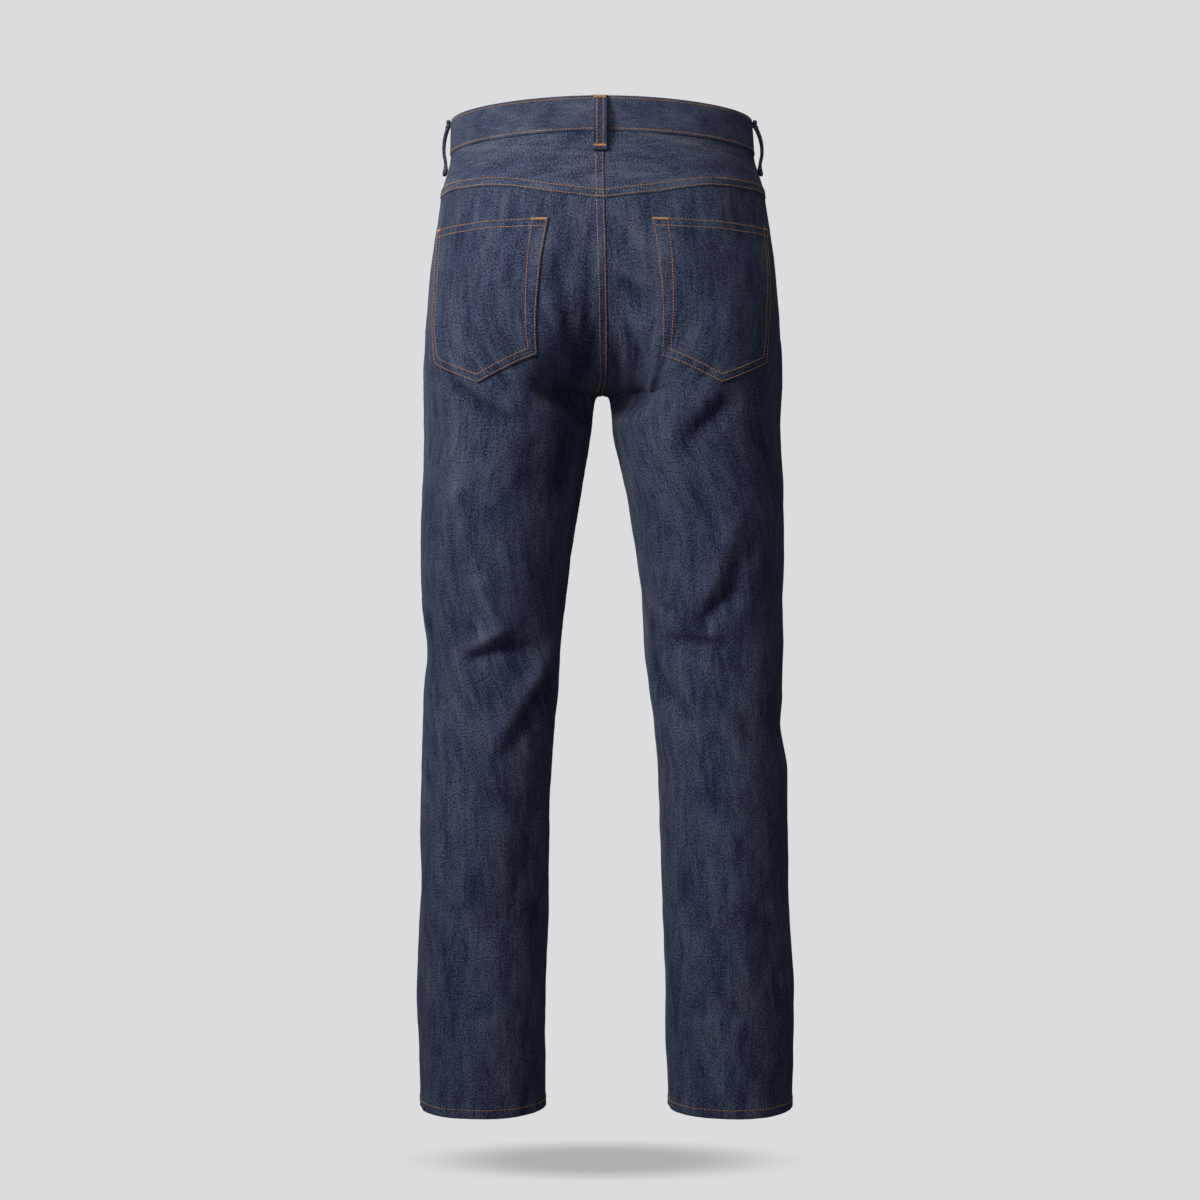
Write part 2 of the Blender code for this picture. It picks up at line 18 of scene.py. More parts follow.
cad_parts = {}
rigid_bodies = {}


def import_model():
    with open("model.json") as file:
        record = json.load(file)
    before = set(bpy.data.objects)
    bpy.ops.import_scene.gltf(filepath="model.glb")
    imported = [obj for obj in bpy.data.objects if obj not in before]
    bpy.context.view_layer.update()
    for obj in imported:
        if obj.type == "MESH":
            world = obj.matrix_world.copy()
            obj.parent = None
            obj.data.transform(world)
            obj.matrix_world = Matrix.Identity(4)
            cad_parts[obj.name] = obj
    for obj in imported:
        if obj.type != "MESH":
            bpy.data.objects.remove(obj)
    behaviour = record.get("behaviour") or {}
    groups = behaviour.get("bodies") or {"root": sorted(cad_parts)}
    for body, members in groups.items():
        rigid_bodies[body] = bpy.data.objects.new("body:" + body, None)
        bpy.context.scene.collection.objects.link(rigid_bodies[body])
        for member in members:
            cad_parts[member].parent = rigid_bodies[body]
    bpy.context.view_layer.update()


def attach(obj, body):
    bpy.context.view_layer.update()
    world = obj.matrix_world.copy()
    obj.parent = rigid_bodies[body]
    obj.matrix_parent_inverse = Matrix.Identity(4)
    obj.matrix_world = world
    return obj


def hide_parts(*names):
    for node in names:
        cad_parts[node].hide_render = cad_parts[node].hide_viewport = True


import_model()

bl_info = {
    "name": "Straight Leg Jeans",
    "version": (1, 0, 0),
    "blender": (4, 5, 0),
    "location": "3D View > Sidebar > Jeans",
    "description": "Sews the cloth, stitching and button of a pair of raw denim jeans",
    "category": "Object",
}

LEFT, RIGHT = 1, -1
SIDE_NAMES = {LEFT: "left", RIGHT: "right"}

# ---------------------------------------------------------------- the form
# The same outline, seams and large folds as the solids have.
BAND = 0.038
BACK_WAIST_LIFT = 0.005
FRONT_WAIST_DIP = 0.020
CROTCH = 0.294
CROTCH_Y = -0.015
BACK_RISE_TURN = 0.150
FRONT_RISE_TURN = 0.190
RISE_CURL = 0.363
FORK_SPREAD = 0.040
FORK_FULL = 0.305
FORK_SLOPE = 0.15
FORK_DRIFT = 0.15
FORK_BLEND = 0.008
ROUNDNESS = 0.58
WAIST_LEVEL = 0.04
WAIST_FADE = 0.12
CREST_START = 0.03
CURVE_POINTS = 257
SCOOP_WIDTH = 0.38
SCOOP_DEPTH = 0.077
HEM_DROP = 1.061
LEG_GIRTH = 0.48

SECTION_COLUMNS = (
    "drop", "left_out", "right_out", "left_in", "right_in", "back", "front", "side")
SECTION_ROWS = (
    (0.000, 0.1620, 0.1600, 0.0000, 0.0000, 0.1050, -0.1030, 0.0000),
    (0.040, 0.1632, 0.1630, 0.0000, 0.0000, 0.1100, -0.1060, 0.0000),
    (0.075, 0.1720, 0.1730, 0.0000, 0.0000, 0.1165, -0.1085, 0.0010),
    (0.110, 0.1770, 0.1780, 0.0000, 0.0000, 0.1220, -0.1105, 0.0030),
    (0.170, 0.1850, 0.1862, 0.0000, 0.0000, 0.1290, -0.1105, 0.0050),
    (0.235, 0.1905, 0.1915, 0.0000, 0.0000, 0.1260, -0.1080, 0.0030),
    (0.294, 0.1917, 0.1930, 0.0000, 0.0000, 0.1150, -0.1060, -0.0010),
    (0.2955, 0.1917, 0.1930, 0.0048, 0.0048, 0.1147, -0.1060, -0.0011),
    (0.298, 0.1917, 0.1930, 0.0068, 0.0068, 0.1142, -0.1059, -0.0012),
    (0.305, 0.1917, 0.1930, 0.0085, 0.0085, 0.1127, -0.1057, -0.0015),
    (0.340, 0.1922, 0.1925, 0.0135, 0.0135, 0.1050, -0.1045, -0.0030),
    (0.410, 0.1950, 0.1960, 0.0245, 0.0268, 0.0915, -0.1010, -0.0060),
    (0.470, 0.1960, 0.1960, 0.0350, 0.0363, 0.0810, -0.0975, -0.0080),
    (0.520, 0.1947, 0.1938, 0.0409, 0.0430, 0.0740, -0.0945, -0.0095),
    (0.570, 0.1895, 0.1960, 0.0448, 0.0470, 0.0690, -0.0907, -0.0100),
    (0.620, 0.1935, 0.1952, 0.0488, 0.0520, 0.0655, -0.0870, -0.0095),
    (0.651, 0.1949, 0.1925, 0.0520, 0.0553, 0.0643, -0.0845, -0.0090),
    (0.700, 0.1955, 0.1990, 0.0553, 0.0596, 0.0635, -0.0805, -0.0075),
    (0.800, 0.1965, 0.2008, 0.0578, 0.0637, 0.0648, -0.0740, -0.0040),
    (0.950, 0.1993, 0.2057, 0.0610, 0.0676, 0.0680, -0.0670, 0.0000),
    (1.061, 0.1960, 0.2045, 0.0621, 0.0708, 0.0705, -0.0640, 0.0030),
)
SECTION = dict(zip(SECTION_COLUMNS, np.array(SECTION_ROWS).T))

TWIST_COLUMNS = ("drop", "left", "right")
TWIST_ROWS = (
    (0.350, 0.000, 0.000),
    (0.430, 0.000, -0.045),
    (0.500, 0.020, -0.050),
    (0.585, 0.070, -0.055),
    (0.660, 0.125, -0.060),
    (0.720, 0.145, -0.062),
    (0.820, 0.158, -0.064),
    (1.061, 0.165, -0.065),
)
TWIST = dict(zip(TWIST_COLUMNS, np.array(TWIST_ROWS).T))

# The yoke's lower edge and the pocket's corners (share and drop) on the back panel.
YOKE_SHARES = (0.0, 0.163, 0.46, 0.787, 1.0)
YOKE_DROPS = (0.0850, 0.0850, 0.0878, 0.1003, 0.1070)
POCKET_CORNERS = {
    "top_outer": (0.163, 0.1240),
    "top_inner": (0.787, 0.1255),
    "low_outer": (0.253, 0.2696),
    "point": (0.416, 0.2929),
    "low_inner": (0.678, 0.2621),
}
POCKET_SHIFT = 0.012
POCKET_INNER_ROW = (0.0092, 0.0165)

# Folds and creases, each a straight stretch of a soft ridge (height above
# zero) or trough (below): the leg, its start and end, half width and height.
FOLD_COLUMNS = ("leg", "turn", "drop", "end_turn", "end_drop", "width", "height")
LARGE_FOLDS = (
    ("left", 0.135, 0.300, 0.175, 0.405, 0.013, 0.0032),
    ("left", 0.175, 0.405, 0.230, 0.500, 0.012, 0.0038),
    ("left", 0.230, 0.500, 0.268, 0.548, 0.010, 0.0042),
    ("left", 0.265, 0.552, 0.205, 0.566, 0.010, 0.0030),
    ("left", 0.205, 0.578, 0.275, 0.568, 0.010, -0.0026),
    ("left", 0.275, 0.568, 0.360, 0.568, 0.010, -0.0020),
    ("left", 0.405, 0.572, 0.362, 0.600, 0.014, 0.0040),
    ("left", 0.362, 0.600, 0.285, 0.665, 0.015, 0.0045),
    ("left", 0.405, 0.610, 0.310, 0.672, 0.015, -0.0042),
    ("left", 0.168, 0.297, 0.242, 0.333, 0.012, -0.0030),
    ("right", 0.205, 0.316, 0.262, 0.350, 0.014, -0.0040),
    ("right", 0.247, 0.303, 0.302, 0.345, 0.014, 0.0030),
    ("right", 0.212, 0.440, 0.258, 0.508, 0.015, 0.0040),
    ("right", 0.195, 0.472, 0.218, 0.510, 0.013, -0.0040),
    ("right", 0.218, 0.510, 0.285, 0.540, 0.013, -0.0050),
    ("right", 0.350, 0.558, 0.250, 0.564, 0.010, -0.0030),
    ("right", 0.250, 0.564, 0.230, 0.588, 0.009, -0.0025),
    ("right", 0.420, 0.590, 0.322, 0.645, 0.012, -0.0050),
    ("right", 0.375, 0.588, 0.305, 0.660, 0.014, 0.0035),
    ("left", -0.380, 0.400, -0.230, 0.330, 0.016, 0.0035),
    ("left", -0.360, 0.560, -0.200, 0.585, 0.012, -0.0040),
    ("left", -0.240, 0.620, -0.120, 0.660, 0.014, 0.0035),
    ("right", -0.390, 0.410, -0.240, 0.335, 0.016, 0.0035),
    ("right", -0.180, 0.570, -0.330, 0.590, 0.012, -0.0040),
    ("right", -0.250, 0.640, -0.150, 0.690, 0.014, 0.0035),
)
CREASES = (
    ("left", 0.168, 0.297, 0.242, 0.333, 0.005, -0.0042),
    ("left", 0.180, 0.291, 0.250, 0.322, 0.006, 0.0028),
    ("left", 0.206, 0.579, 0.262, 0.570, 0.0045, -0.0034),
    ("left", 0.262, 0.570, 0.340, 0.567, 0.005, -0.0018),
    ("left", 0.266, 0.551, 0.210, 0.566, 0.006, 0.0022),
    ("left", 0.395, 0.600, 0.330, 0.655, 0.008, -0.0026),
    ("left", 0.420, 0.300, 0.360, 0.420, 0.014, -0.0030),
    ("left", 0.455, 0.330, 0.430, 0.450, 0.012, -0.0016),
    ("left", 0.300, 0.360, 0.330, 0.470, 0.012, -0.0018),
    ("left", 0.195, 0.350, 0.225, 0.440, 0.010, -0.0012),
    ("left", 0.140, 0.772, 0.144, 0.820, 0.004, 0.0009),
    ("left", 0.155, 0.760, 0.160, 0.810, 0.004, -0.0007),
    ("left", 0.170, 0.640, 0.175, 0.760, 0.014, 0.0012),
    ("left", 0.420, 0.690, 0.380, 0.760, 0.012, -0.0018),
    ("left", 0.360, 0.740, 0.330, 0.900, 0.018, -0.0018),
    ("left", 0.300, 0.880, 0.270, 1.020, 0.020, 0.0014),
    ("left", 0.100, 0.500, 0.060, 0.570, 0.012, -0.0022),
    ("left", 0.300, 0.205, 0.280, 0.262, 0.006, 0.0011),
    ("left", 0.255, 0.195, 0.250, 0.250, 0.007, -0.0009),
    ("left", 0.415, 0.170, 0.440, 0.262, 0.011, -0.0032),
    ("left", 0.470, 0.170, 0.478, 0.262, 0.008, -0.0018),
    ("right", 0.206, 0.317, 0.262, 0.349, 0.007, -0.0034),
    ("right", 0.467, 0.173, 0.415, 0.196, 0.007, 0.0040),
    ("right", 0.452, 0.208, 0.400, 0.240, 0.007, 0.0040),
    ("right", 0.455, 0.188, 0.402, 0.216, 0.006, -0.0042),
    ("right", 0.445, 0.228, 0.398, 0.266, 0.006, -0.0042),
    ("right", 0.472, 0.195, 0.466, 0.265, 0.007, -0.0022),
    ("right", 0.375, 0.246, 0.335, 0.308, 0.009, 0.0026),
    ("right", 0.352, 0.285, 0.360, 0.352, 0.009, 0.0018),
    ("right", 0.360, 0.352, 0.384, 0.374, 0.008, 0.0014),
    ("right", 0.335, 0.290, 0.335, 0.352, 0.009, -0.0016),
    ("right", 0.302, 0.340, 0.302, 0.376, 0.009, 0.0016),
    ("right", 0.280, 0.340, 0.262, 0.420, 0.014, -0.0016),
    ("right", 0.218, 0.508, 0.282, 0.540, 0.006, -0.0026),
    ("right", 0.382, 0.523, 0.336, 0.529, 0.005, -0.0024),
    ("right", 0.352, 0.558, 0.278, 0.561, 0.005, -0.0028),
    ("right", 0.278, 0.561, 0.245, 0.567, 0.005, -0.0028),
    ("right", 0.245, 0.567, 0.230, 0.588, 0.005, -0.0024),
    ("right", 0.330, 0.572, 0.262, 0.580, 0.006, -0.0014),
    ("right", 0.410, 0.598, 0.330, 0.645, 0.006, -0.0022),
    ("right", 0.322, 0.645, 0.308, 0.690, 0.008, -0.0016),
    ("right", 0.180, 0.560, 0.150, 0.640, 0.012, 0.0016),
    ("right", 0.110, 0.640, 0.050, 0.654, 0.009, -0.0026),
    ("right", 0.240, 0.760, 0.215, 0.900, 0.018, 0.0014),
    ("right", 0.150, 0.800, 0.160, 0.960, 0.016, -0.0013),
    ("right", 0.360, 0.720, 0.380, 0.840, 0.014, 0.0010),
    ("left", -0.300, 0.300, -0.200, 0.345, 0.007, -0.0022),
    ("left", -0.460, 0.250, -0.380, 0.300, 0.009, -0.0020),
    ("left", -0.450, 0.280, -0.400, 0.360, 0.010, 0.0018),
    ("left", -0.360, 0.561, -0.280, 0.574, 0.005, -0.0026),
    ("left", -0.200, 0.600, -0.320, 0.622, 0.006, -0.0018),
    ("left", -0.150, 0.500, -0.250, 0.530, 0.008, -0.0018),
    ("left", -0.280, 0.740, -0.240, 0.880, 0.018, 0.0015),
    ("right", -0.290, 0.305, -0.190, 0.340, 0.007, -0.0022),
    ("right", -0.465, 0.255, -0.390, 0.305, 0.009, -0.0020),
    ("right", -0.450, 0.290, -0.405, 0.370, 0.010, 0.0018),
    ("right", -0.200, 0.572, -0.290, 0.584, 0.005, -0.0026),
    ("right", -0.310, 0.610, -0.210, 0.630, 0.006, -0.0018),
    ("right", -0.350, 0.520, -0.260, 0.545, 0.008, -0.0018),
    ("right", -0.240, 0.760, -0.280, 0.920, 0.018, 0.0015),
)


def ease(share):
    """Smooth step from 0 to 1."""
    share = np.clip(share, 0.0, 1.0)
    return share * share * (3.0 - 2.0 * share)


def bell(away, width):
    """1 at nothing away, falling softly to 0 beyond the width."""
    return np.exp(-np.square(away / width))


def through(places, values, place):
    """Cubic through the points, with slopes that never overshoot."""
    places, values = np.asarray(places), np.asarray(values)
    steps = np.diff(values) / np.diff(places)
    both = steps[:-1] * steps[1:]
    agree = both > 0.0
    harmonic = np.where(agree, 2.0 * both / np.where(agree, steps[:-1] + steps[1:], 1.0), 0.0)
    slopes = np.concatenate([steps[:1], harmonic, steps[-1:]])
    k = np.clip(np.searchsorted(places, place) - 1, 0, len(places) - 2)
    span = places[k + 1] - places[k]
    t = np.clip((place - places[k]) / span, 0.0, 1.0)
    return (
        values[k] * (1.0 + 2.0 * t) * (1.0 - t) ** 2
        + values[k + 1] * t * t * (3.0 - 2.0 * t)
        + span * t * (1.0 - t) * ((1.0 - t) * slopes[k] - t * slopes[k + 1])
    )


def measure(column, drop):
    """One size of the garment at a drop."""
    return through(SECTION["drop"], SECTION[column], drop)


def bezier(start, leave, arrive, end):
    """Points along a cubic curve."""
    t = np.linspace(0.0, 1.0, CURVE_POINTS)[:, None]
    return (
        (1 - t) ** 3 * np.array(start)
        + 3 * t * (1 - t) ** 2 * np.array(leave)
        + 3 * t * t * (1 - t) * np.array(arrive)
        + t ** 3 * np.array(end)
    )


def centre_seam(side, back, drop):
    """Where a section ends: its x, y and z, and the angle at which it arrives."""
    turn_in = BACK_RISE_TURN if back else FRONT_RISE_TURN
    depth = "back" if back else "front"
    if drop <= turn_in:
        return 0.0, measure(depth, drop), -drop, 0.0
    if drop <= CROTCH:
        share = (drop - turn_in) / (CROTCH - turn_in)
        swing = 0.5 * math.pi * share * (1.0 - RISE_CURL + RISE_CURL * share)
        y = CROTCH_Y + (measure(depth, turn_in) - CROTCH_Y) * math.cos(swing)
        z = -turn_in - (CROTCH - turn_in) * math.sin(swing)
        return 0.0, y, z, 0.25 * math.pi * share
    x = measure(SIDE_NAMES[side] + "_in", drop)
    y = CROTCH_Y + (measure("side", drop) - CROTCH_Y) * ease((drop - CROTCH) / FORK_DRIFT)
    return x, y, -drop, 0.25 * math.pi * (1.0 + ease((drop - CROTCH) / FORK_SPREAD))


def crest(side, drop):
    """How far out the fullest line of the back and the front lies."""
    name = SIDE_NAMES[side]
    fork = max(drop, FORK_FULL)
    inside = measure(name + "_in", fork) - FORK_SLOPE * (fork - drop)
    middle = 0.5 * (measure(name + "_out", drop) + max(inside, 0.0))
    return middle * ease((drop - CREST_START) / (CROTCH - CREST_START))


def walk(line):
    """Length walked along a line of points, from its first."""
    return np.concatenate([[0.0], np.cumsum(np.linalg.norm(np.diff(line, axis=0), axis=1))])


def section(side, back, drop):
    """One half section, from the outseam round to the centre seam or inseam."""
    facing = 1.0 if back else -1.0
    out_x = measure(SIDE_NAMES[side] + "_out", drop)
    out_y = measure("side", drop)
    end_x, end_y, end_z, angle = centre_seam(side, back, drop)
    full_y = measure("back" if back else "front", drop)
    full_x = crest(side, drop)
    rise = abs(full_y - out_y) * ROUNDNESS * facing
    outer = bezier(
        (out_x, out_y), (out_x, out_y + rise),
        (full_x + (out_x - full_x) * ROUNDNESS, full_y), (full_x, full_y))
    across, deep = full_x - end_x, abs(full_y - end_y)
    reach = ROUNDNESS * (across * math.cos(angle) + deep * math.sin(angle))
    arrive = (end_x + reach * math.cos(angle), end_y + facing * reach * math.sin(angle))
    inner = bezier(
        (full_x, full_y), (full_x - across * ROUNDNESS, full_y), arrive, (end_x, end_y))
    line = np.vstack([outer, inner[1:]])
    sink = np.concatenate([np.zeros(CURVE_POINTS - 1), ease(np.linspace(0.0, 1.0, CURVE_POINTS))])
    share = walk(line) / walk(line)[-1]
    waist = BACK_WAIST_LIFT if back else -FRONT_WAIST_DIP
    fade = 1.0 - ease((drop - WAIST_LEVEL) / WAIST_FADE)
    lift = waist * fade * np.sin(0.5 * np.pi * share) ** 2
    height = -drop + lift + (end_z + drop) * sink
    return np.column_stack([side * line[:, 0], line[:, 1], height])


class Form:
    """The smooth skin of both sides, as tables of points and directions."""

    HALF = 320
    MARGIN = 160

    def __init__(self):
        self.drops = np.concatenate([
            np.linspace(0.0, 0.270, 181), np.linspace(0.270, CROTCH, 33)[1:],
            np.linspace(CROTCH, 0.320, 37)[1:], np.linspace(0.320, HEM_DROP, 495)[1:]])
        self.lengths = {}
        skins = {side: self.skin(side) for side in (LEFT, RIGHT)}
        self.points, self.normals = {}, {}
        for side in (LEFT, RIGHT):
            self.points[side] = self.widen(side, skins)
            self.normals[side] = self.directions(side)

    def skin(self, side):
        """Points from the centre front (first column) to the centre back."""
        shares = np.linspace(0.0, 1.0, self.HALF + 1)
        halves = []
        for back in (False, True):
            rows, lengths = [], []
            for drop in self.drops:
                line = section(side, back, drop)
                length = walk(line)
                places = shares * length[-1]
                rows.append(np.column_stack(
                    [np.interp(places, length, line[:, axis]) for axis in range(3)]))
                lengths.append(length[-1])
            halves.append(np.array(rows))
            self.lengths[side, back] = np.array(lengths)
        front, back = halves
        return np.concatenate([front[:, :0:-1], back], axis=1)

    def widen(self, side, skins):
        """Carry the skin past its ends: over to the other side, or round the leg."""
        own, other = skins[side], skins[-side]
        edge = self.MARGIN
        legs = (self.drops >= CROTCH)[:, None, None]
        before = np.where(legs, own[:, -edge - 1:-1], other[:, edge:0:-1])
        after = np.where(legs, own[:, 1:edge + 1], other[:, -2:-edge - 2:-1])
        return np.concatenate([before, own, after], axis=1)

    def directions(self, side):
        """Unit directions straight out of the skin."""
        points = self.points[side]
        down = np.gradient(points, self.drops, axis=0)
        round_it = np.gradient(points, axis=1)
        normals = side * np.cross(down, round_it)
        normals /= np.linalg.norm(normals, axis=2, keepdims=True)
        fork = np.array([0.0, CROTCH_Y, -CROTCH])
        near = bell(np.linalg.norm(points - fork, axis=2), FORK_BLEND)[..., None]
        normals = (1.0 - near) * normals + near * np.array([0.0, 0.0, -1.0])
        return normals / np.linalg.norm(normals, axis=2, keepdims=True)

    def at(self, side, turn, drop):
        """Points and outward directions at arrays of places."""
        row = np.interp(drop, self.drops, np.arange(len(self.drops)))
        column = (turn + 0.5) * 2 * self.HALF + self.MARGIN
        r = np.clip(row.astype(int), 0, len(self.drops) - 2)
        c = np.clip(column.astype(int), 0, 2 * (self.HALF + self.MARGIN) - 1)
        u, v = (column - c)[..., None], (row - r)[..., None]
        found = []
        for table in (self.points[side], self.normals[side]):
            top = table[r, c] * (1 - u) + table[r, c + 1] * u
            low = table[r + 1, c] * (1 - u) + table[r + 1, c + 1] * u
            found.append(top * (1 - v) + low * v)
        points, normals = found
        return points, normals / np.linalg.norm(normals, axis=-1, keepdims=True)

    def half_length(self, side, back, drop):
        """How far it is from the outseam to the centre seam or inseam."""
        return np.interp(drop, self.drops, self.lengths[side, back])


FORM = Form()


def twist(side, drop):
    """How far the leg's seams have wound towards the back, in turns."""
    wound = through(TWIST["drop"], TWIST[SIDE_NAMES[side]], drop)
    return np.where(np.asarray(drop) < TWIST["drop"][0], 0.0, wound)


def fold_height(rows, side, turn, drop, tapered):
    """How far one table of folds pushes the cloth out at places on one leg."""
    height = np.zeros(np.broadcast(turn, drop).shape)
    for row in rows:
        fold = dict(zip(FOLD_COLUMNS, row))
        if fold["leg"] != SIDE_NAMES[side]:
            continue
        run_turn = (fold["end_turn"] - fold["turn"]) * LEG_GIRTH
        run_drop = fold["end_drop"] - fold["drop"]
        over = ((turn - fold["turn"] + 0.5) % 1.0 - 0.5) * LEG_GIRTH
        down = drop - fold["drop"]
        along = (over * run_turn + down * run_drop) / (run_turn ** 2 + run_drop ** 2)
        part = np.clip(along, 0.0, 1.0)
        away = np.hypot(over - part * run_turn, down - part * run_drop)
        strength = np.sqrt(np.sin(math.pi * (0.08 + 0.84 * part))) if tapered else 1.0
        height += fold["height"] * strength * bell(away, fold["width"])
    return height


def undulation(side, turn, drop):
    """Soft unevenness of cloth that has been worn and washed, seeded for each leg."""
    draw = np.random.default_rng(40 + side)
    height = np.zeros(np.broadcast(turn, drop).shape)
    for wave in range(UNDULATIONS):
        length = 0.018 * 1.16 ** wave
        tilt = draw.uniform(-0.9, 0.9)
        phase = draw.uniform(0.0, 2.0 * math.pi)
        rounds = max(round(LEG_GIRTH * math.cos(tilt) / length), 1)
        spin = 2.0 * math.pi * rounds * turn
        fall = 2.0 * math.pi * math.sin(tilt) * drop / length
        height += length ** 0.85 * np.sin(spin + fall + phase)
    quiet = ease((drop - 0.05) / 0.25) * 0.6 + 0.4
    return UNDULATION_DEPTH * quiet * height


def relief(side, turn, drop):
    """Folds, creases and unevenness together, running on across the centre seams."""
    strength = bpy.context.scene.jeans_cut.crease_strength
    total = np.zeros(np.broadcast(turn, drop).shape)
    held = ease((drop - BAND) / HELD_FADE)
    centre = 1.0 - ease((drop - FELL_FADE) / FOLD_FADE)
    mirror = np.where(turn > 0.0, 1.0 - turn, -1.0 - turn)
    for leg, place, share in ((side, turn, 1.0), (-side, mirror, centre)):
        total += share * fold_height(LARGE_FOLDS, leg, place, drop, False)
        total += share * strength * fold_height(CREASES, leg, place, drop, True)
        total += share * undulation(leg, place, drop)
    return total * held


def lay(side, back, shares, drops):
    """Points, outward directions and fold heights at places on a half panel."""
    turn = twist(side, drops) + (0.5 if back else -0.5) * shares
    points, normals = FORM.at(side, turn, drops)
    height = relief(side, turn, drops)
    return points + normals * height[..., None], normals, height


def half_length(side, back, drops):
    """Distance from the outseam to the centre seam or inseam at some drops."""
    return FORM.half_length(side, back, drops)


# ---------------------------------------------------------------- the sewing
# Where the seams lie. Fells are the thick, doubly stitched seams whose folded
# edge stands up: the seat seam, the yokes' lower edges and the fly.
CLOTH = 0.0015
TUCK = 0.0014
POCKET_GAP = 0.0003
HEM = 0.0105
HEM_FOLD = 0.0011
HEM_STITCH = 0.0092
FELL_FADE = 0.262
FELL_END = 0.290
FOLD_FADE = 0.030
HELD_FADE = 0.040
RISE_FADE = 0.250
SEAT_SHIFT_TOP = 0.0015
SEAT_SHIFT_LOW = 0.0061
FLY_SHIFT = 0.0045
FLY_END = 0.160
FLY_STITCH = 0.036
FLY_CURVE = 0.045
FLY_FOOT = 0.003
ROW_NEAR = 0.0018
ROW_FAR = 0.0086
EDGE_STEPS = (0.0, 0.0003, 0.0007, 0.0012, 0.0020, 0.0034, 0.0052)
EDGE_ROLL = 0.0011
UNDULATIONS = 14
UNDULATION_DEPTH = 0.0022


def shift_left(drop):
    """How much of a seam's shift is left: all high up, none where its fell ends."""
    return 1.0 - ease((drop - FELL_FADE) / (FELL_END - FELL_FADE))


def rise_share(drop):
    """1 along the seat seam or the rise, fading to 0 where its fell ends."""
    return 1.0 - ease((drop - RISE_FADE) / (FELL_END - RISE_FADE))


def seat_shift(drop):
    """How far the seat seam's folded edge lies to the wearer's right of centre."""
    shift = SEAT_SHIFT_TOP + (SEAT_SHIFT_LOW - SEAT_SHIFT_TOP) * ease((drop - 0.04) / 0.22)
    return shift * shift_left(drop)


def fly_shift(drop):
    """How far the left front laps over the right at the fly and the rise below it."""
    below = 1.0 - 0.4 * ease((drop - FLY_END) / 0.02)
    return FLY_SHIFT * below * shift_left(drop)


def end_share(side, back, drop):
    """The share at which a half panel ends at its centre seam or inseam."""
    shift = seat_shift(drop) if back else fly_shift(drop)
    return 1.0 + side * shift / half_length(side, back, drop)


def tucked_share(side, back, drop):
    """The share at which its cloth ends: the right one is tucked under the left."""
    if side == LEFT:
        return end_share(side, back, drop)
    under = TUCK * shift_left(drop) / half_length(side, back, drop)
    return end_share(side, back, drop) + under


def from_centre(side, back, shares, drops):
    """Distance along the cloth to a half panel's centre seam or inseam."""
    return (end_share(side, back, drops) - shares) * half_length(side, back, drops)


def yoke_line(share):
    """The drop of the yoke's lower edge."""
    return through(YOKE_SHARES, YOKE_DROPS, share)


def scoop(part):
    """Share and drop of the front pocket's mouth, from the waistband to the outseam."""
    swing = 0.5 * math.pi * np.asarray(part)
    return SCOOP_WIDTH * np.cos(swing), BAND + SCOOP_DEPTH * np.sin(swing)


def fell(away, depth_far=ROW_FAR):
    """A felled band's height: flat, sunk along its two rows and puffed between."""
    lift = bpy.context.scene.jeans_cut.fell_lift
    flat = 1.0 - ease((away - depth_far - 0.0012) / 0.0035)
    sunk = bell(away - ROW_NEAR, 0.0009) + bell(away - depth_far, 0.0009)
    puffed = bell(away - 0.5 * (ROW_NEAR + depth_far), 0.0024)
    return lift * flat - 0.00025 * sunk + 0.00022 * puffed


def pucker(along, away, pitch=0.0105, reach=0.010, depth=0.00024):
    """Small ripples across a seam where its thread has drawn the cloth in."""
    wander = 1.4 * np.sin(along * 61.0) + 0.9 * np.sin(along * 137.0 + 1.0)
    return depth * np.sin(2.0 * math.pi * along / pitch + wander) * bell(away, reach)


def plain_seam(away, along):
    """Height beside a pressed-open seam: a ditch, and a ridge over its allowance."""
    ridge = 0.00045 * (1.0 - ease((away - 0.0085) / 0.0050))
    return ridge - 0.00045 * bell(away, 0.0014) + pucker(along, away - 0.004, depth=0.00008)


def finely(length, cells, start=True, end=True):
    """Places from 0 to 1, even inside and closer together towards the edges."""
    near = np.array(EDGE_STEPS) / length
    first = near if start else near[:1]
    last = 1.0 - near[::-1] if end else np.ones(1)
    inside = np.linspace(first[-1], last[0], cells + 1)
    return np.concatenate([first[:-1], inside, last[1:]])


def near_line(across, down, line):
    """Distance from places on a flat chart to a line of points on it."""
    best = np.full(np.broadcast(across, down).shape, np.inf)
    for start, end in zip(line[:-1], line[1:]):
        run = end - start
        part = ((across - start[0]) * run[0] + (down - start[1]) * run[1]) / run.dot(run)
        part = np.clip(part, 0.0, 1.0)
        away = np.hypot(across - start[0] - part * run[0], down - start[1] - part * run[1])
        best = np.minimum(best, away)
    return best


class Ply:
    """A grid on the form: its points, outward directions, thickness, and its wear with painted
    shade in the folds.

    weft is how much undyed weft its inner face shows, greyed how much its outer.
    """

    def __init__(self, points, normals, height, across, down):
        self.points, self.normals = points, normals
        self.chart = np.stack([across, down], axis=-1)
        self.top = np.zeros(height.shape)
        self.under = np.full(height.shape, -CLOTH)
        self.edge = np.full(height.shape, np.inf)
        # Paler on the ridges as rubbed wear, darker in the fold troughs as painted shade.
        self.wear_and_fold_shade = 0.45 * np.clip(height / 0.007, -1.0, 1.0)
        self.weft = np.zeros(height.shape)
        self.greyed = 0.0

    def near_edge(self, *distances):
        """Note how far each place is from the panel's cut or folded edges."""
        for distance in distances:
            self.edge = np.minimum(self.edge, distance)


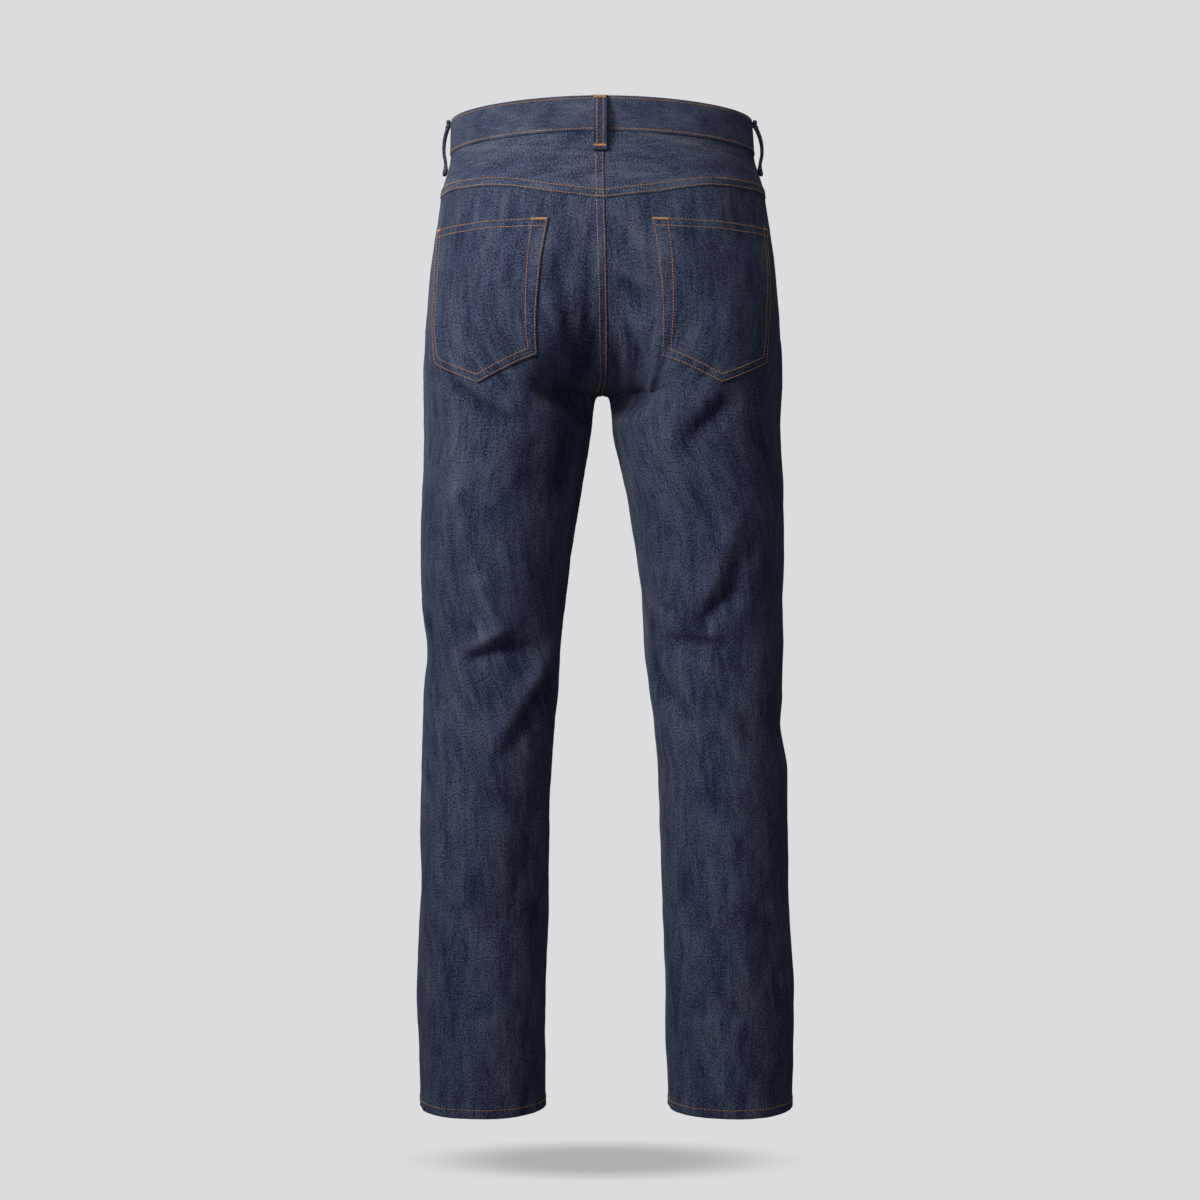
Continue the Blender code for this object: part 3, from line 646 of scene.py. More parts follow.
def panel_ply(side, back, shares, drops):
    """The grid of a panel on one half of one side."""
    points, normals, height = lay(side, back, shares, drops)
    facing = 1.0 if back else -1.0
    across = side * facing * (shares - 0.5) * half_length(side, back, drops)
    ply = Ply(points, normals, height, across, drops)
    ply.weft[:] = 1.0
    return ply


def roll_edges(ply):
    """Round a ply's edges over, and return its outer and inner points."""
    depth = 0.44 * (ply.top - ply.under)
    part = 1.0 - np.clip(ply.edge / EDGE_ROLL, 0.0, 1.0)
    roll = depth * (1.0 - np.sqrt(1.0 - 0.98 * part * part))
    outer = ply.points + ply.normals * (ply.top - roll)[..., None]
    inner = ply.points + ply.normals * (ply.under + roll)[..., None]
    return outer, inner


def sew_sheet(name, ply, finish):
    """A thin closed shell of cloth between a ply's outer and inner faces."""
    outer, inner = roll_edges(ply)
    rows, columns = outer.shape[0] - 1, outer.shape[1] - 1
    shape = bmesh.new()
    shape.loops.layers.uv.new(CLOTH_MAP)
    bmesh.ops.create_grid(shape, x_segments=columns, y_segments=rows, size=0.5)
    grown = bmesh.ops.extrude_face_region(shape, geom=shape.faces[:], use_keep_orig=True)
    lining = [item for item in grown["geom"] if isinstance(item, bmesh.types.BMVert)]
    bmesh.ops.translate(shape, vec=(0.0, 0.0, -1.0), verts=lining)
    bmesh.ops.recalc_face_normals(shape, faces=shape.faces[:])
    mesh = bpy.data.meshes.new(name)
    shape.to_mesh(mesh)
    shape.free()
    flat = np.empty(len(mesh.vertices) * 3)
    mesh.vertices.foreach_get("co", flat)
    flat = flat.reshape(-1, 3)
    column = np.rint((flat[:, 0] + 0.5) * columns).astype(int)
    row = np.rint((flat[:, 1] + 0.5) * rows).astype(int)
    lined = (flat[:, 2] < -0.5)[:, None]
    places = np.where(lined, inner[row, column], outer[row, column])
    mesh.vertices.foreach_set("co", places.ravel())
    corners = np.empty(len(mesh.loops), dtype=np.int32)
    mesh.loops.foreach_get("vertex_index", corners)
    mapped = ply.chart[row, column][corners]
    mesh.uv_layers[CLOTH_MAP].data.foreach_set("uv", mapped.ravel())
    inside = np.where(lined[:, 0], ply.weft[row, column], ply.greyed)
    for word, values in ((WEAR_AND_FOLD_SHADE, ply.wear_and_fold_shade[row, column]), (WEFT_SIDE, inside)):
        mesh.attributes.new(word, "FLOAT", "POINT").data.foreach_set("value", values)
    turned = bmesh.new()
    turned.from_mesh(mesh)
    if turned.calc_volume(signed=True) < 0.0:
        bmesh.ops.reverse_faces(turned, faces=turned.faces[:])
        turned.to_mesh(mesh)
    turned.free()
    return place(name, mesh, finish)


def place(name, mesh, finish):
    """Link a finished mesh as a smooth piece with its material."""
    mesh.shade_smooth()
    mesh.materials.append(finish)
    piece = bpy.data.objects.new(name, mesh)
    bpy.context.scene.collection.objects.link(piece)
    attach(piece, "root")
    return piece


def sew_ply(name, ply, finish, nodes):
    """Sew one panel and hide the solids it stands for."""
    piece = sew_sheet(name, ply, finish)
    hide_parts(*nodes)
    return piece


# ------------------------------------------------- heights of the outer face
# Each is used twice: to shape its piece, and to lay the stitches on it.
def hem_top(away, along):
    """The turned-up hem: thicker, sunk along its row and lightly roped."""
    doubled = 0.0005 * (1.0 - ease((away - HEM) / 0.0028))
    sunk = 0.00045 * bell(away - HEM_STITCH, 0.0010)
    roped = 0.00022 * np.sin(2.0 * math.pi * (along / 0.0125 + away / 0.021))
    return doubled - sunk + roped * (1.0 - ease((away - 0.007) / 0.006))


def yoke_top(side, shares, drops):
    """Outer height of a yoke, its lower edge felled over the back panel."""
    length = half_length(side, True, drops)
    low = yoke_line(shares) - drops
    centre = from_centre(side, True, shares, drops)
    top = fell(low) + pucker(shares * length, low - 0.005)
    if side == LEFT:
        top = np.maximum(top, fell(centre)) + pucker(drops, centre - 0.005)
    return top + plain_seam(shares * length, drops)


def back_top(side, shares, drops):
    """Outer height of a back leg panel."""
    length = half_length(side, True, drops)
    centre = from_centre(side, True, shares, drops)
    rise = rise_share(drops)
    top = plain_seam(shares * length, drops) + plain_seam(centre, drops) * (1.0 - rise)
    if side == LEFT:
        top = top + rise * (fell(centre) + pucker(drops, centre - 0.005))
    else:
        top = top + rise * pucker(drops, centre)
    top = top + pucker(shares * length, drops - yoke_line(shares), reach=0.007)
    return top + hem_top(HEM_DROP - drops, shares * length)


def scoop_line(side):
    """The front pocket's mouth on the panel's chart."""
    shares, drops = scoop(np.linspace(0.0, 1.0, 25))
    return np.column_stack([shares * half_length(side, False, drops), drops])


def front_top(side, shares, drops):
    """Outer height of a front leg panel."""
    length = half_length(side, False, drops)
    centre = from_centre(side, False, shares, drops)
    mouth = near_line(shares * length, drops, scoop_line(side))
    rise = rise_share(drops)
    below = ease((drops - BAND - SCOOP_DEPTH) / 0.006)
    top = below * plain_seam(shares * length, drops)
    top = top + plain_seam(centre, drops) * (1.0 - rise)
    top = top + 0.6 * fell(mouth) * (1.0 - ease((drops - 0.110) / 0.012) * ease(mouth / 0.004))
    if side == LEFT:
        top = top + rise * (fell(centre) + pucker(drops, centre - 0.005))
    return top + hem_top(HEM_DROP - drops, shares * length)


def lapped_over(around):
    """1 on the waistband's upper lap at the centre front, 0 past it."""
    return 1.0 - ease((around - LAP_START - 2.0 * LAP_TURN) / LAP_TURN)


def band_top(around, drops):
    """Outer height of the waistband: a folded strip, lapped over at the front."""
    over = lapped_over(around)
    under = ease((around - LAP_END + 2.0 * LAP_TURN) / LAP_TURN)
    sunk = bell(drops - BAND_ROW_TOP, 0.0010) + bell(BAND - BAND_ROW_LOW - drops, 0.0010)
    soft = 0.0003 * np.sin(math.pi * np.clip(drops / BAND, 0.0, 1.0))
    ripple = pucker(around * WAIST_GIRTH, BAND - drops, 0.012, 0.008)
    return BAND_LIFT + LAP_LIFT * over - 0.0008 * under - 0.00035 * sunk + soft + ripple


def pocket_corner(side, name):
    """One corner of a back pocket on the panel's chart."""
    share, drop = POCKET_CORNERS[name]
    share -= side * POCKET_SHIFT
    return np.array([share * half_length(side, True, drop), drop])


def pocket_lines(side):
    """The back pocket's five edges on the panel's chart."""
    corner = {name: pocket_corner(side, name) for name in POCKET_CORNERS}
    return {
        "mouth": np.array([corner["top_outer"], corner["top_inner"]]),
        "outer": np.array([corner["top_outer"], corner["low_outer"]]),
        "inner": np.array([corner["top_inner"], corner["low_inner"]]),
        "low_outer": np.array([corner["low_outer"], corner["point"]]),
        "low_inner": np.array([corner["low_inner"], corner["point"]]),
    }


def pocket_top(side, across, down):
    """Outer height of a back pocket above the panel it lies on."""
    lines = pocket_lines(side)
    mouth = near_line(across, down, lines.pop("mouth"))
    rim = np.minimum.reduce([near_line(across, down, line) for line in lines.values()])
    thick = 0.0005 * (1.0 - ease((rim - 0.0092) / 0.0022))
    thick = np.maximum(thick, 0.0009 * (1.0 - ease((mouth - 0.0118) / 0.0022)))
    sunk = bell(rim - ROW_NEAR, 0.0008) + 0.8 * bell(rim - ROW_FAR, 0.0009)
    sunk = sunk + bell(mouth - ROW_NEAR, 0.0008) + bell(mouth - ROW_FAR, 0.0009)
    ripple = pucker(across + down, rim - 0.004, 0.012, 0.008)
    return POCKET_LIFT + thick - 0.00028 * np.minimum(sunk, 1.0) + 0.8 * ripple


# ------------------------------------------------------------------ settings
class JeansCutSettings(bpy.types.PropertyGroup):
    """Sizes of the cut and the sewing."""

    crease_strength: bpy.props.FloatProperty(
        name="Creases", description="How strongly the small creases show",
        default=1.5, min=0.0, max=2.0, subtype="FACTOR")
    fell_lift: bpy.props.FloatProperty(
        name="Felled Seams", description="How far a felled seam's folded edge stands up",
        default=0.0010, min=0.0005, max=0.003, unit="LENGTH", precision=4)
    cell: bpy.props.FloatProperty(
        name="Cell", description="Size of the leg panels' grid cells",
        default=0.0027, min=0.002, max=0.02, unit="LENGTH", precision=4)


class JeansStitchSettings(bpy.types.PropertyGroup):
    """Sizes and colour of the topstitching."""

    pitch: bpy.props.FloatProperty(
        name="Stitch Pitch", description="Distance from one stitch to the next",
        default=0.0030, min=0.0015, max=0.006, unit="LENGTH", precision=4)
    thickness: bpy.props.FloatProperty(
        name="Thread", description="Thickness of the topstitching thread",
        default=0.00115, min=0.0003, max=0.002, unit="LENGTH", precision=5)
    colour: bpy.props.FloatVectorProperty(
        name="Thread Colour", description="Colour of the topstitching thread",
        default=(0.600, 0.300, 0.105), min=0.0, max=1.0, subtype="COLOR")
    # Painted highlight: the tacks are coloured paler than the rows to stand in for the light their
    # close thread catches.
    tack_highlight_colour: bpy.props.FloatVectorProperty(
        name="Tack Colour", description="Colour of the bar tacks, which the light catches more",
        default=(0.740, 0.350, 0.105), min=0.0, max=1.0, subtype="COLOR")


class JeansDenimSettings(bpy.types.PropertyGroup):
    """Colours and weave of the denim."""

    deep: bpy.props.FloatVectorProperty(
        name="Deep Indigo", description="Colour of the darkest warp threads",
        default=(0.0075, 0.0102, 0.0340), min=0.0, max=1.0, subtype="COLOR")
    blue: bpy.props.FloatVectorProperty(
        name="Pale Indigo", description="Colour of the palest threads where the dye is deep",
        default=(0.084, 0.106, 0.203), min=0.0, max=1.0, subtype="COLOR")
    grey: bpy.props.FloatVectorProperty(
        name="Grey Weft", description="Colour of the palest threads where the weft shows",
        default=(0.118, 0.138, 0.184), min=0.0, max=1.0, subtype="COLOR")
    weft: bpy.props.FloatVectorProperty(
        name="Undyed Weft", description="Colour of the undyed weft on the cloth's inner face",
        default=(0.400, 0.415, 0.450), min=0.0, max=1.0, subtype="COLOR")
    wale: bpy.props.FloatProperty(
        name="Twill Pitch", description="Distance between two diagonal ribs of the twill",
        default=0.00106, min=0.0004, max=0.003, unit="LENGTH", precision=5)
    sheen: bpy.props.FloatProperty(
        name="Sheen", description="Strength of the cloth's soft sheen",
        default=0.08, min=0.0, max=1.0, subtype="FACTOR")


class JeansStageSettings(bpy.types.PropertyGroup):
    """Floor, lights and camera."""

    floor: bpy.props.FloatProperty(
        name="Floor", description="Height of the floor under the waist",
        default=-1.121, unit="LENGTH")
    backdrop: bpy.props.FloatVectorProperty(
        name="Backdrop", description="Pale colour of the floor and the backdrop",
        default=(0.716, 0.716, 0.730), min=0.0, max=1.0, subtype="COLOR")
    eye: bpy.props.FloatVectorProperty(
        name="Camera", description="Where the camera stands",
        default=(0.0027, 2.4, -0.5163), subtype="XYZ", unit="LENGTH")
    lens: bpy.props.FloatProperty(
        name="Lens", description="Focal length in millimetres on a 36 mm sensor",
        default=66.67, min=20.0, max=200.0)
    key: bpy.props.FloatProperty(
        name="Key Light", description="Power of the main light in watts",
        default=14.0, min=0.0, max=500.0)


# ----------------------------------------------------------------- materials
CLOTH_MAP = "cloth_map"
# Attribute holding rubbed wear on the ridges and painted shade in the fold troughs.
WEAR_AND_FOLD_SHADE = "wear_and_fold_shade"
WEFT_SIDE = "weft_side"
GREYED = 0.05
TWILL_WAY = (2.0 / math.sqrt(5.0), -1.0 / math.sqrt(5.0), 0.0)


class Graph:
    """A short way to write a material's node tree."""

    def __init__(self, tree):
        self.tree = tree
        self.tree.nodes.clear()

    def add(self, kind, inputs=None, **settings):
        """Add a node, set its properties, and set or link its inputs."""
        node = self.tree.nodes.new(kind)
        for name, value in settings.items():
            setattr(node, name, value)
        for name, value in (inputs or {}).items():
            if isinstance(value, bpy.types.NodeSocket):
                self.tree.links.new(value, node.inputs[name])
            else:
                node.inputs[name].default_value = value
        return node

    def maths(self, operation, first, second=0.5, third=0.5):
        """One step of arithmetic."""
        inputs = {0: first, 1: second, 2: third}
        return self.add("ShaderNodeMath", inputs, operation=operation).outputs[0]

    def scaled(self, vector, scale):
        """A vector stretched along each axis."""
        inputs = {0: vector, 1: scale}
        return self.add("ShaderNodeVectorMath", inputs, operation="MULTIPLY").outputs[0]

    def noise(self, vector, scale, detail=2.0, rough=0.5):
        """Noise from 0 to 1, its grain stretched by the scale."""
        inputs = {"Vector": self.scaled(vector, scale), "Scale": 1.0,
                  "Detail": detail, "Roughness": rough}
        return self.add("ShaderNodeTexNoise", inputs).outputs["Fac"]

    def ribs(self, vector, direction, pitch):
        """Smooth ribs across a direction, from -1 to 1."""
        turned = self.add("ShaderNodeVectorMath", {0: vector, 1: direction},
                          operation="DOT_PRODUCT").outputs["Value"]
        return self.maths("SINE", self.maths("MULTIPLY", turned, 2.0 * math.pi / pitch))

    def mix(self, factor, first, second):
        """Blend two colours."""
        node = self.add("ShaderNodeMix", data_type="RGBA")
        for socket, value in ((node.inputs[0], factor), (node.inputs[6], first),
                              (node.inputs[7], second)):
            if isinstance(value, bpy.types.NodeSocket):
                self.tree.links.new(value, socket)
            else:
                socket.default_value = value
        return node.outputs[2]

    def finish(self, shader):
        """Link the shader to the output."""
        out = self.add("ShaderNodeOutputMaterial")
        self.tree.links.new(shader, out.inputs["Surface"])


def new_graph(name):
    """A new material and the graph that writes its nodes."""
    made = bpy.data.materials.new(name)
    made.use_nodes = True
    return made, Graph(made.node_tree)


def denim(name, shift=0.0, streaks=1.0):
    """Unwashed indigo twill: slubby warp streaks, mottle, fine diagonal ribs, ridges rubbed paler
    and painted shade in the fold troughs.
    """
    found = bpy.data.materials.get(name)
    if found:
        return found
    look = bpy.context.scene.jeans_denim
    made, graph = new_graph(name)
    chart = graph.add("ShaderNodeUVMap", uv_map=CLOTH_MAP).outputs["UV"]
    wear_and_fold_shade = graph.add("ShaderNodeAttribute", attribute_name=WEAR_AND_FOLD_SHADE).outputs["Fac"]
    ribs = graph.ribs(chart, TWILL_WAY, look.wale)
    grain = graph.noise(chart, (640.0, 540.0, 1.0), 3.0, 0.75)
    threads = graph.noise(chart, (900.0, 90.0, 1.0), 2.0)
    slubs = graph.noise(chart, (240.0, 30.0, 1.0), 3.0, 0.6)
    blotches = graph.noise(chart, (95.0, 30.0, 1.0), 4.0, 0.6)
    clouds = graph.noise(chart, (34.0, 10.0, 1.0), 3.0, 0.55)
    parts = ((grain, 4.40), (threads, 0.60 * streaks), (slubs, 0.90 * streaks),
             (blotches, 1.10 * streaks), (clouds, 1.00))
    tone = 0.40 + shift - 0.5 * sum(amount for _, amount in parts)
    # The fold height lightens the ridges as wear and darkens the troughs as painted shade.
    for part, amount in (*parts, (ribs, 0.12), (wear_and_fold_shade, 0.60)):
        tone = graph.maths("MULTIPLY_ADD", part, amount, tone)
    tone = graph.maths("MINIMUM", graph.maths("MAXIMUM", tone, 0.0), 1.0)
    grey = graph.maths("MULTIPLY_ADD", clouds, 2.4, -0.75)
    grey = graph.maths("MINIMUM", graph.maths("MAXIMUM", grey, 0.0), 1.0)
    pale = graph.mix(grey, (*look.blue, 1.0), (*look.grey, 1.0))
    colour = graph.mix(tone, (*look.deep, 1.0), pale)
    inside = graph.add("ShaderNodeAttribute", attribute_name=WEFT_SIDE).outputs["Fac"]
    weft = graph.mix(tone, (*look.grey, 1.0), (*look.weft, 1.0))
    colour = graph.mix(inside, colour, weft)
    height = graph.maths("MULTIPLY_ADD", ribs, 0.25, graph.maths("MULTIPLY", grain, 1.5))
    height = graph.maths("MULTIPLY_ADD", threads, 0.7, height)
    bump = graph.add("ShaderNodeBump", {"Height": height, "Strength": 0.55, "Distance": 0.0005})
    shader = graph.add("ShaderNodeBsdfPrincipled", {
        "Base Color": colour, "Roughness": 0.86, "Specular IOR Level": 0.25,
        "Sheen Weight": look.sheen, "Sheen Roughness": 0.45,
        "Sheen Tint": (0.62, 0.68, 0.85, 1.0), "Normal": bump.outputs["Normal"]})
    graph.finish(shader.outputs[0])
    return made


def thread_finish(name, colour):
    """Twisted topstitching thread, a little uneven in its dye."""
    found = bpy.data.materials.get(name)
    if found:
        return found
    made, graph = new_graph(name)
    spot = graph.add("ShaderNodeTexCoord").outputs["Object"]
    uneven = graph.noise(spot, (260.0, 260.0, 260.0), 3.0, 0.6)
    twist_height = graph.ribs(spot, (0.70, 0.20, 0.68), 0.0007)
    dark = tuple(0.55 * channel for channel in colour)
    shade = graph.maths("MULTIPLY_ADD", uneven, 1.8, -0.40)
    blend = graph.mix(graph.maths("MINIMUM", shade, 1.0), (*dark, 1.0), (*colour, 1.0))
    bump = graph.add("ShaderNodeBump", {
        "Height": twist_height, "Strength": 0.35, "Distance": 0.0002})
    shader = graph.add("ShaderNodeBsdfPrincipled", {
        "Base Color": blend, "Roughness": 0.58, "Sheen Weight": 0.10,
        "Normal": bump.outputs["Normal"]})
    graph.finish(shader.outputs[0])
    return made


def row_thread():
    """The finish of the topstitched rows."""
    return thread_finish("thread_rows", bpy.context.scene.jeans_stitching.colour)


def tack_thread():
    """The finish of the bar tacks, coloured paler than the rows as a painted highlight for the
    light their close thread catches.
    """
    return thread_finish("thread_tacks", bpy.context.scene.jeans_stitching.tack_highlight_colour)


def aged_metal(name):
    """Dull brassy grey metal with darker patches of patina and fine scratches."""
    made, graph = new_graph(name)
    spot = graph.add("ShaderNodeTexCoord").outputs["Object"]
    patina = graph.noise(spot, (420.0, 420.0, 420.0), 4.0, 0.6)
    scratches = graph.noise(spot, (300.0, 300.0, 4200.0), 2.0)
    colour = graph.mix(patina, (0.16, 0.13, 0.10, 1.0), (0.52, 0.43, 0.32, 1.0))
    rough = graph.maths("MULTIPLY_ADD", patina, 0.35, 0.20)
    bump = graph.add("ShaderNodeBump", {
        "Height": scratches, "Strength": 0.25, "Distance": 0.0001})
    shader = graph.add("ShaderNodeBsdfPrincipled", {
        "Base Color": colour, "Metallic": 1.0, "Roughness": rough,
        "Normal": bump.outputs["Normal"]})
    graph.finish(shader.outputs[0])
    return made


# -------------------------------------------------------------------- pieces
WAIST_GIRTH = 0.86
LAP_TURN = 0.0442
LAP_START = -0.5 - LAP_TURN
LAP_END = 1.5 + LAP_TURN
LAP_LIFT = 0.0026
BAND_LIFT = 0.0013
BAND_DEPTH = 0.0018
BAND_ROW_TOP = 0.0032
BAND_ROW_LOW = 0.0028
LAP_ROW = 0.0030
POCKET_LIFT = 0.0016
# A facing runs on past the pocket mouth, sunk behind the front there.
FACING_PAST = 0.014
FACING_SINK = 0.0019
FACING_FADE = 0.022
FACING_THICK = 0.0012
SHIELD_SHARE = 0.85
SHIELD_DROP = BAND + 0.001
SHIELD_SINK = 0.0004
SHIELD_THICK = 0.0020
# A leg's rows lie close from just above the fork to just below it, and at the hem.
FORK_FROM, FORK_TO = 0.278, 0.316
FORK_CELL_ABOVE, FORK_CELL_BELOW = 0.0012, 0.0013
HEM_FROM = 0.0135
HEM_ROWS = (0.0122, 0.0113, 0.0106, 0.0099, 0.0092, 0.0085, 0.0076, 0.0062,
            0.0044, 0.0028, 0.0016, 0.0009, 0.0004, 0.0)


def leg_levels(start):
    """Heights of a leg panel's rows, closer at the top, the crotch and the hem."""
    cell = bpy.context.scene.jeans_cut.cell

    def even(first, last, step):
        return np.linspace(first, last, max(round((last - first) / step), 2))[:-1]

    return np.concatenate([
        start + np.array(EDGE_STEPS)[:-1],
        even(start + EDGE_STEPS[-1], FORK_FROM, 1.15 * cell),
        even(FORK_FROM, CROTCH, FORK_CELL_ABOVE), even(CROTCH, FORK_TO, FORK_CELL_BELOW),
        even(FORK_TO, HEM_DROP - HEM_FROM, 1.12 * cell), HEM_DROP - np.array(HEM_ROWS)])


def leg_ply(side, back, shares, drops, top):
    """The grid of a leg panel with its hem turned up."""
    ply = panel_ply(side, back, shares, drops)
    above_hem = HEM_DROP - drops - HEM
    ply.top = top
    ply.under -= HEM_FOLD * (1.0 - ease(above_hem / 0.0015))
    ply.weft[:] = ease(above_hem / 0.0005)
    ply.near_edge(from_centre(side, back, shares, drops), HEM_DROP - drops)
    return ply


class JEANS_OT_back_legs(bpy.types.Operator):
    """Sew the two back leg panels, from the yokes down to the hems"""

    bl_idname = "jeans.back_legs"
    bl_label = "Back Legs"

    def execute(self, context):
        low = YOKE_DROPS[-1] - TUCK
        levels = leg_levels(low)[:, None]
        across = finely(0.235, round(0.235 / context.scene.jeans_cut.cell))[None, :]
        for side in (LEFT, RIGHT):
            step = yoke_line(across) - YOKE_DROPS[-1]
            drops = levels + step * (1.0 - ease((levels - low) / 0.185))
            shares = tucked_share(side, True, drops) * across
            top = back_top(side, shares, drops)
            ply = leg_ply(side, True, shares, drops, top)
            length = half_length(side, True, drops)
            ply.near_edge(shares * length, drops - yoke_line(shares))
            name = SIDE_NAMES[side]
            sew_ply("denim_back_" + name, ply, denim("denim_legs"),
                    ("back_thigh_" + name, "back_calf_" + name))
        return {"FINISHED"}


class JEANS_OT_front_legs(bpy.types.Operator):
    """Sew the two front leg panels, from the waistband and pocket mouths to the hems"""

    bl_idname = "jeans.front_legs"
    bl_label = "Front Legs"

    def execute(self, context):
        mouth_shares, mouth_drops = scoop(finely(0.125, 40))
        levels = leg_levels(BAND + SCOOP_DEPTH)[1:]
        lefts = np.concatenate([mouth_shares, np.zeros(len(levels))])[:, None]
        levels = np.concatenate([mouth_drops, levels])[:, None]
        across = finely(0.230, round(0.230 / context.scene.jeans_cut.cell))[None, :]
        for side in (LEFT, RIGHT):
            drops = levels + 0.0 * across
            drops = drops - TUCK * (1.0 - ease((drops - BAND) / 0.02))
            shares = lefts + (tucked_share(side, False, drops) - lefts) * across
            top = front_top(side, shares, drops)
            ply = leg_ply(side, False, shares, drops, top)
            length = half_length(side, False, drops)
            mouth = near_line(shares * length, drops, scoop_line(side))
            out = np.where(drops > BAND + SCOOP_DEPTH, shares * length, np.inf)
            ply.near_edge(mouth, out, drops - BAND)
            name = SIDE_NAMES[side]
            sew_ply("denim_front_" + name, ply, denim("denim_legs"),
                    ("front_thigh_" + name, "front_calf_" + name))
        return {"FINISHED"}


class JEANS_OT_yokes(bpy.types.Operator):
    """Sew the two back yokes under the waistband"""

    bl_idname = "jeans.yokes"
    bl_label = "Yokes"

    def execute(self, context):
        across = finely(0.225, 96)[None, :]
        down = finely(0.052, 24)[:, None]
        for side in (LEFT, RIGHT):
            line = yoke_line(across)
            high = BAND - TUCK
            drops = high + (line - high) * down
            shares = tucked_share(side, True, drops) * across
            ply = panel_ply(side, True, shares, drops)
            ply.top = yoke_top(side, shares, drops)
            length = half_length(side, True, drops)
            centre = from_centre(side, True, shares, drops)
            ply.near_edge(shares * length, centre, drops - BAND, line - drops)
            ply.chart = ply.chart[..., ::-1]
            ply.greyed = GREYED
            name = SIDE_NAMES[side]
            sew_ply("denim_yoke_" + name, ply, denim("denim_yokes", 0.02),
                    ("yoke_" + name,))
        return {"FINISHED"}


def band_form(around, drops):
    """Points, directions and fold heights round the waist, the lap's ends included."""
    left = around <= 0.5
    turn = np.where(left, around, 1.0 - around)
    ahead, out_ahead = FORM.at(LEFT, np.where(left, turn, 0.0), drops)
    behind, out_behind = FORM.at(RIGHT, np.where(left, 0.0, turn), drops)
    points = np.where(left[..., None], ahead, behind)
    normals = np.where(left[..., None], out_ahead, out_behind)
    return points, normals


class JEANS_OT_waistband(bpy.types.Operator):
    """Sew the folded waistband, its left end lapped over its right"""

    bl_idname = "jeans.waistband"
    bl_label = "Waistband"

    def execute(self, context):
        steps = (LAP_END - LAP_START) * finely(0.90, 300)[None, :]
        down = BAND * finely(BAND, 20)[:, None]
        around = LAP_START + steps + 0.0 * down
        drops = down + 0.0 * steps
        points, normals = band_form(around, drops)
        ply = Ply(points, normals, np.zeros(drops.shape), -WAIST_GIRTH * around, drops)
        ply.chart = ply.chart[..., ::-1]
        ply.top = band_top(around, drops)
        ply.under = -BAND_DEPTH + (LAP_LIFT + 0.0002) * lapped_over(around)
        ends = np.minimum(around - LAP_START, LAP_END - around) * WAIST_GIRTH
        ply.near_edge(drops, BAND - drops, ends)
        ply.greyed = GREYED
        sew_ply("denim_waistband", ply, denim("denim_waistband", 0.03, 0.8),
                ("waistband",))
        return {"FINISHED"}


class JEANS_OT_back_pockets(bpy.types.Operator):
    """Sew the two pointed patch pockets on the back panels"""

    bl_idname = "jeans.back_pockets"
    bl_label = "Back Pockets"

    def execute(self, context):
        across = finely(0.125, 54)[None, :, None]
        down = finely(0.150, 60)[:, None, None]
        for side in (LEFT, RIGHT):
            corner = {name: pocket_corner(side, name) for name in POCKET_CORNERS}
            middle = 0.5 * (corner["top_outer"] + corner["top_inner"])
            outer_part = np.clip(2.0 * across, 0.0, 1.0)
            inner_part = np.clip(2.0 * across - 1.0, 0.0, 1.0)
            mouth = corner["top_outer"] + (middle - corner["top_outer"]) * outer_part
            mouth = mouth + (corner["top_inner"] - middle) * inner_part
            foot = corner["low_outer"] + (corner["point"] - corner["low_outer"]) * outer_part
            foot = foot + (corner["low_inner"] - corner["point"]) * inner_part
            chart = mouth + (foot - mouth) * down
            drops = chart[..., 1]
            shares = chart[..., 0] / half_length(side, True, drops)
            ply = panel_ply(side, True, shares, drops)
            ply.top = pocket_top(side, chart[..., 0], drops)
            ply.under = np.full(drops.shape, POCKET_GAP)
            lines = pocket_lines(side).values()
            ply.near_edge(*(near_line(chart[..., 0], drops, line) for line in lines))
            name = SIDE_NAMES[side]
            sew_ply("denim_back_pocket_" + name, ply, denim("denim_pockets", -0.02),
                    ("back_pocket_" + name,))
        return {"FINISHED"}


class JEANS_OT_front_pocket_facings(bpy.types.Operator):
    """Sew the hip pieces that show inside the front pocket mouths"""

    bl_idname = "jeans.front_pocket_facings"
    bl_label = "Front Pocket Facings"

    def execute(self, context):
        across = finely(0.09, 34)[None, :]
        part = finely(0.125, 40)[:, None]
        mouth_shares, mouth_drops = scoop(part)
        for side in (LEFT, RIGHT):
            drops = mouth_drops - TUCK * (1.0 - part) + 0.0 * across
            length = half_length(side, False, drops)
            shares = (mouth_shares + FACING_PAST / length) * across
            ply = panel_ply(side, False, shares, drops)
            inside = (mouth_shares - shares) * length
            ply.top = -FACING_SINK * (1.0 - ease(inside / FACING_FADE))
            ply.under = ply.top - FACING_THICK
            ply.near_edge(drops - BAND)
            name = SIDE_NAMES[side]
            sew_ply("denim_pocket_facing_" + name, ply, denim("denim_legs"),
                    ("pocket_facing_" + name,))
        return {"FINISHED"}


class JEANS_OT_fly_shield(bpy.types.Operator):
    """Sew the strip that lies behind the fly opening"""

    bl_idname = "jeans.fly_shield"
    bl_label = "Fly Shield"

    def execute(self, context):
        across = finely(0.034, 14)[None, :]
        down = finely(FLY_END - BAND, 40)[:, None]
        drops = SHIELD_DROP + (FLY_END - BAND) * down + 0.0 * across
        shares = SHIELD_SHARE + (1.0 - SHIELD_SHARE) * across + 0.0 * down
        ply = panel_ply(LEFT, False, shares, drops)
        ply.weft[:] = 0.0
        ply.top = np.full(drops.shape, -CLOTH - SHIELD_SINK)
        ply.under = ply.top - SHIELD_THICK
        length = half_length(LEFT, False, drops)
        ply.near_edge((shares - SHIELD_SHARE) * length, (1.0 - shares) * length,
                      drops - SHIELD_DROP, SHIELD_DROP + FLY_END - BAND - drops)
        sew_ply("denim_fly_shield", ply, denim("denim_legs"),
                ("fly_shield",))
        return {"FINISHED"}


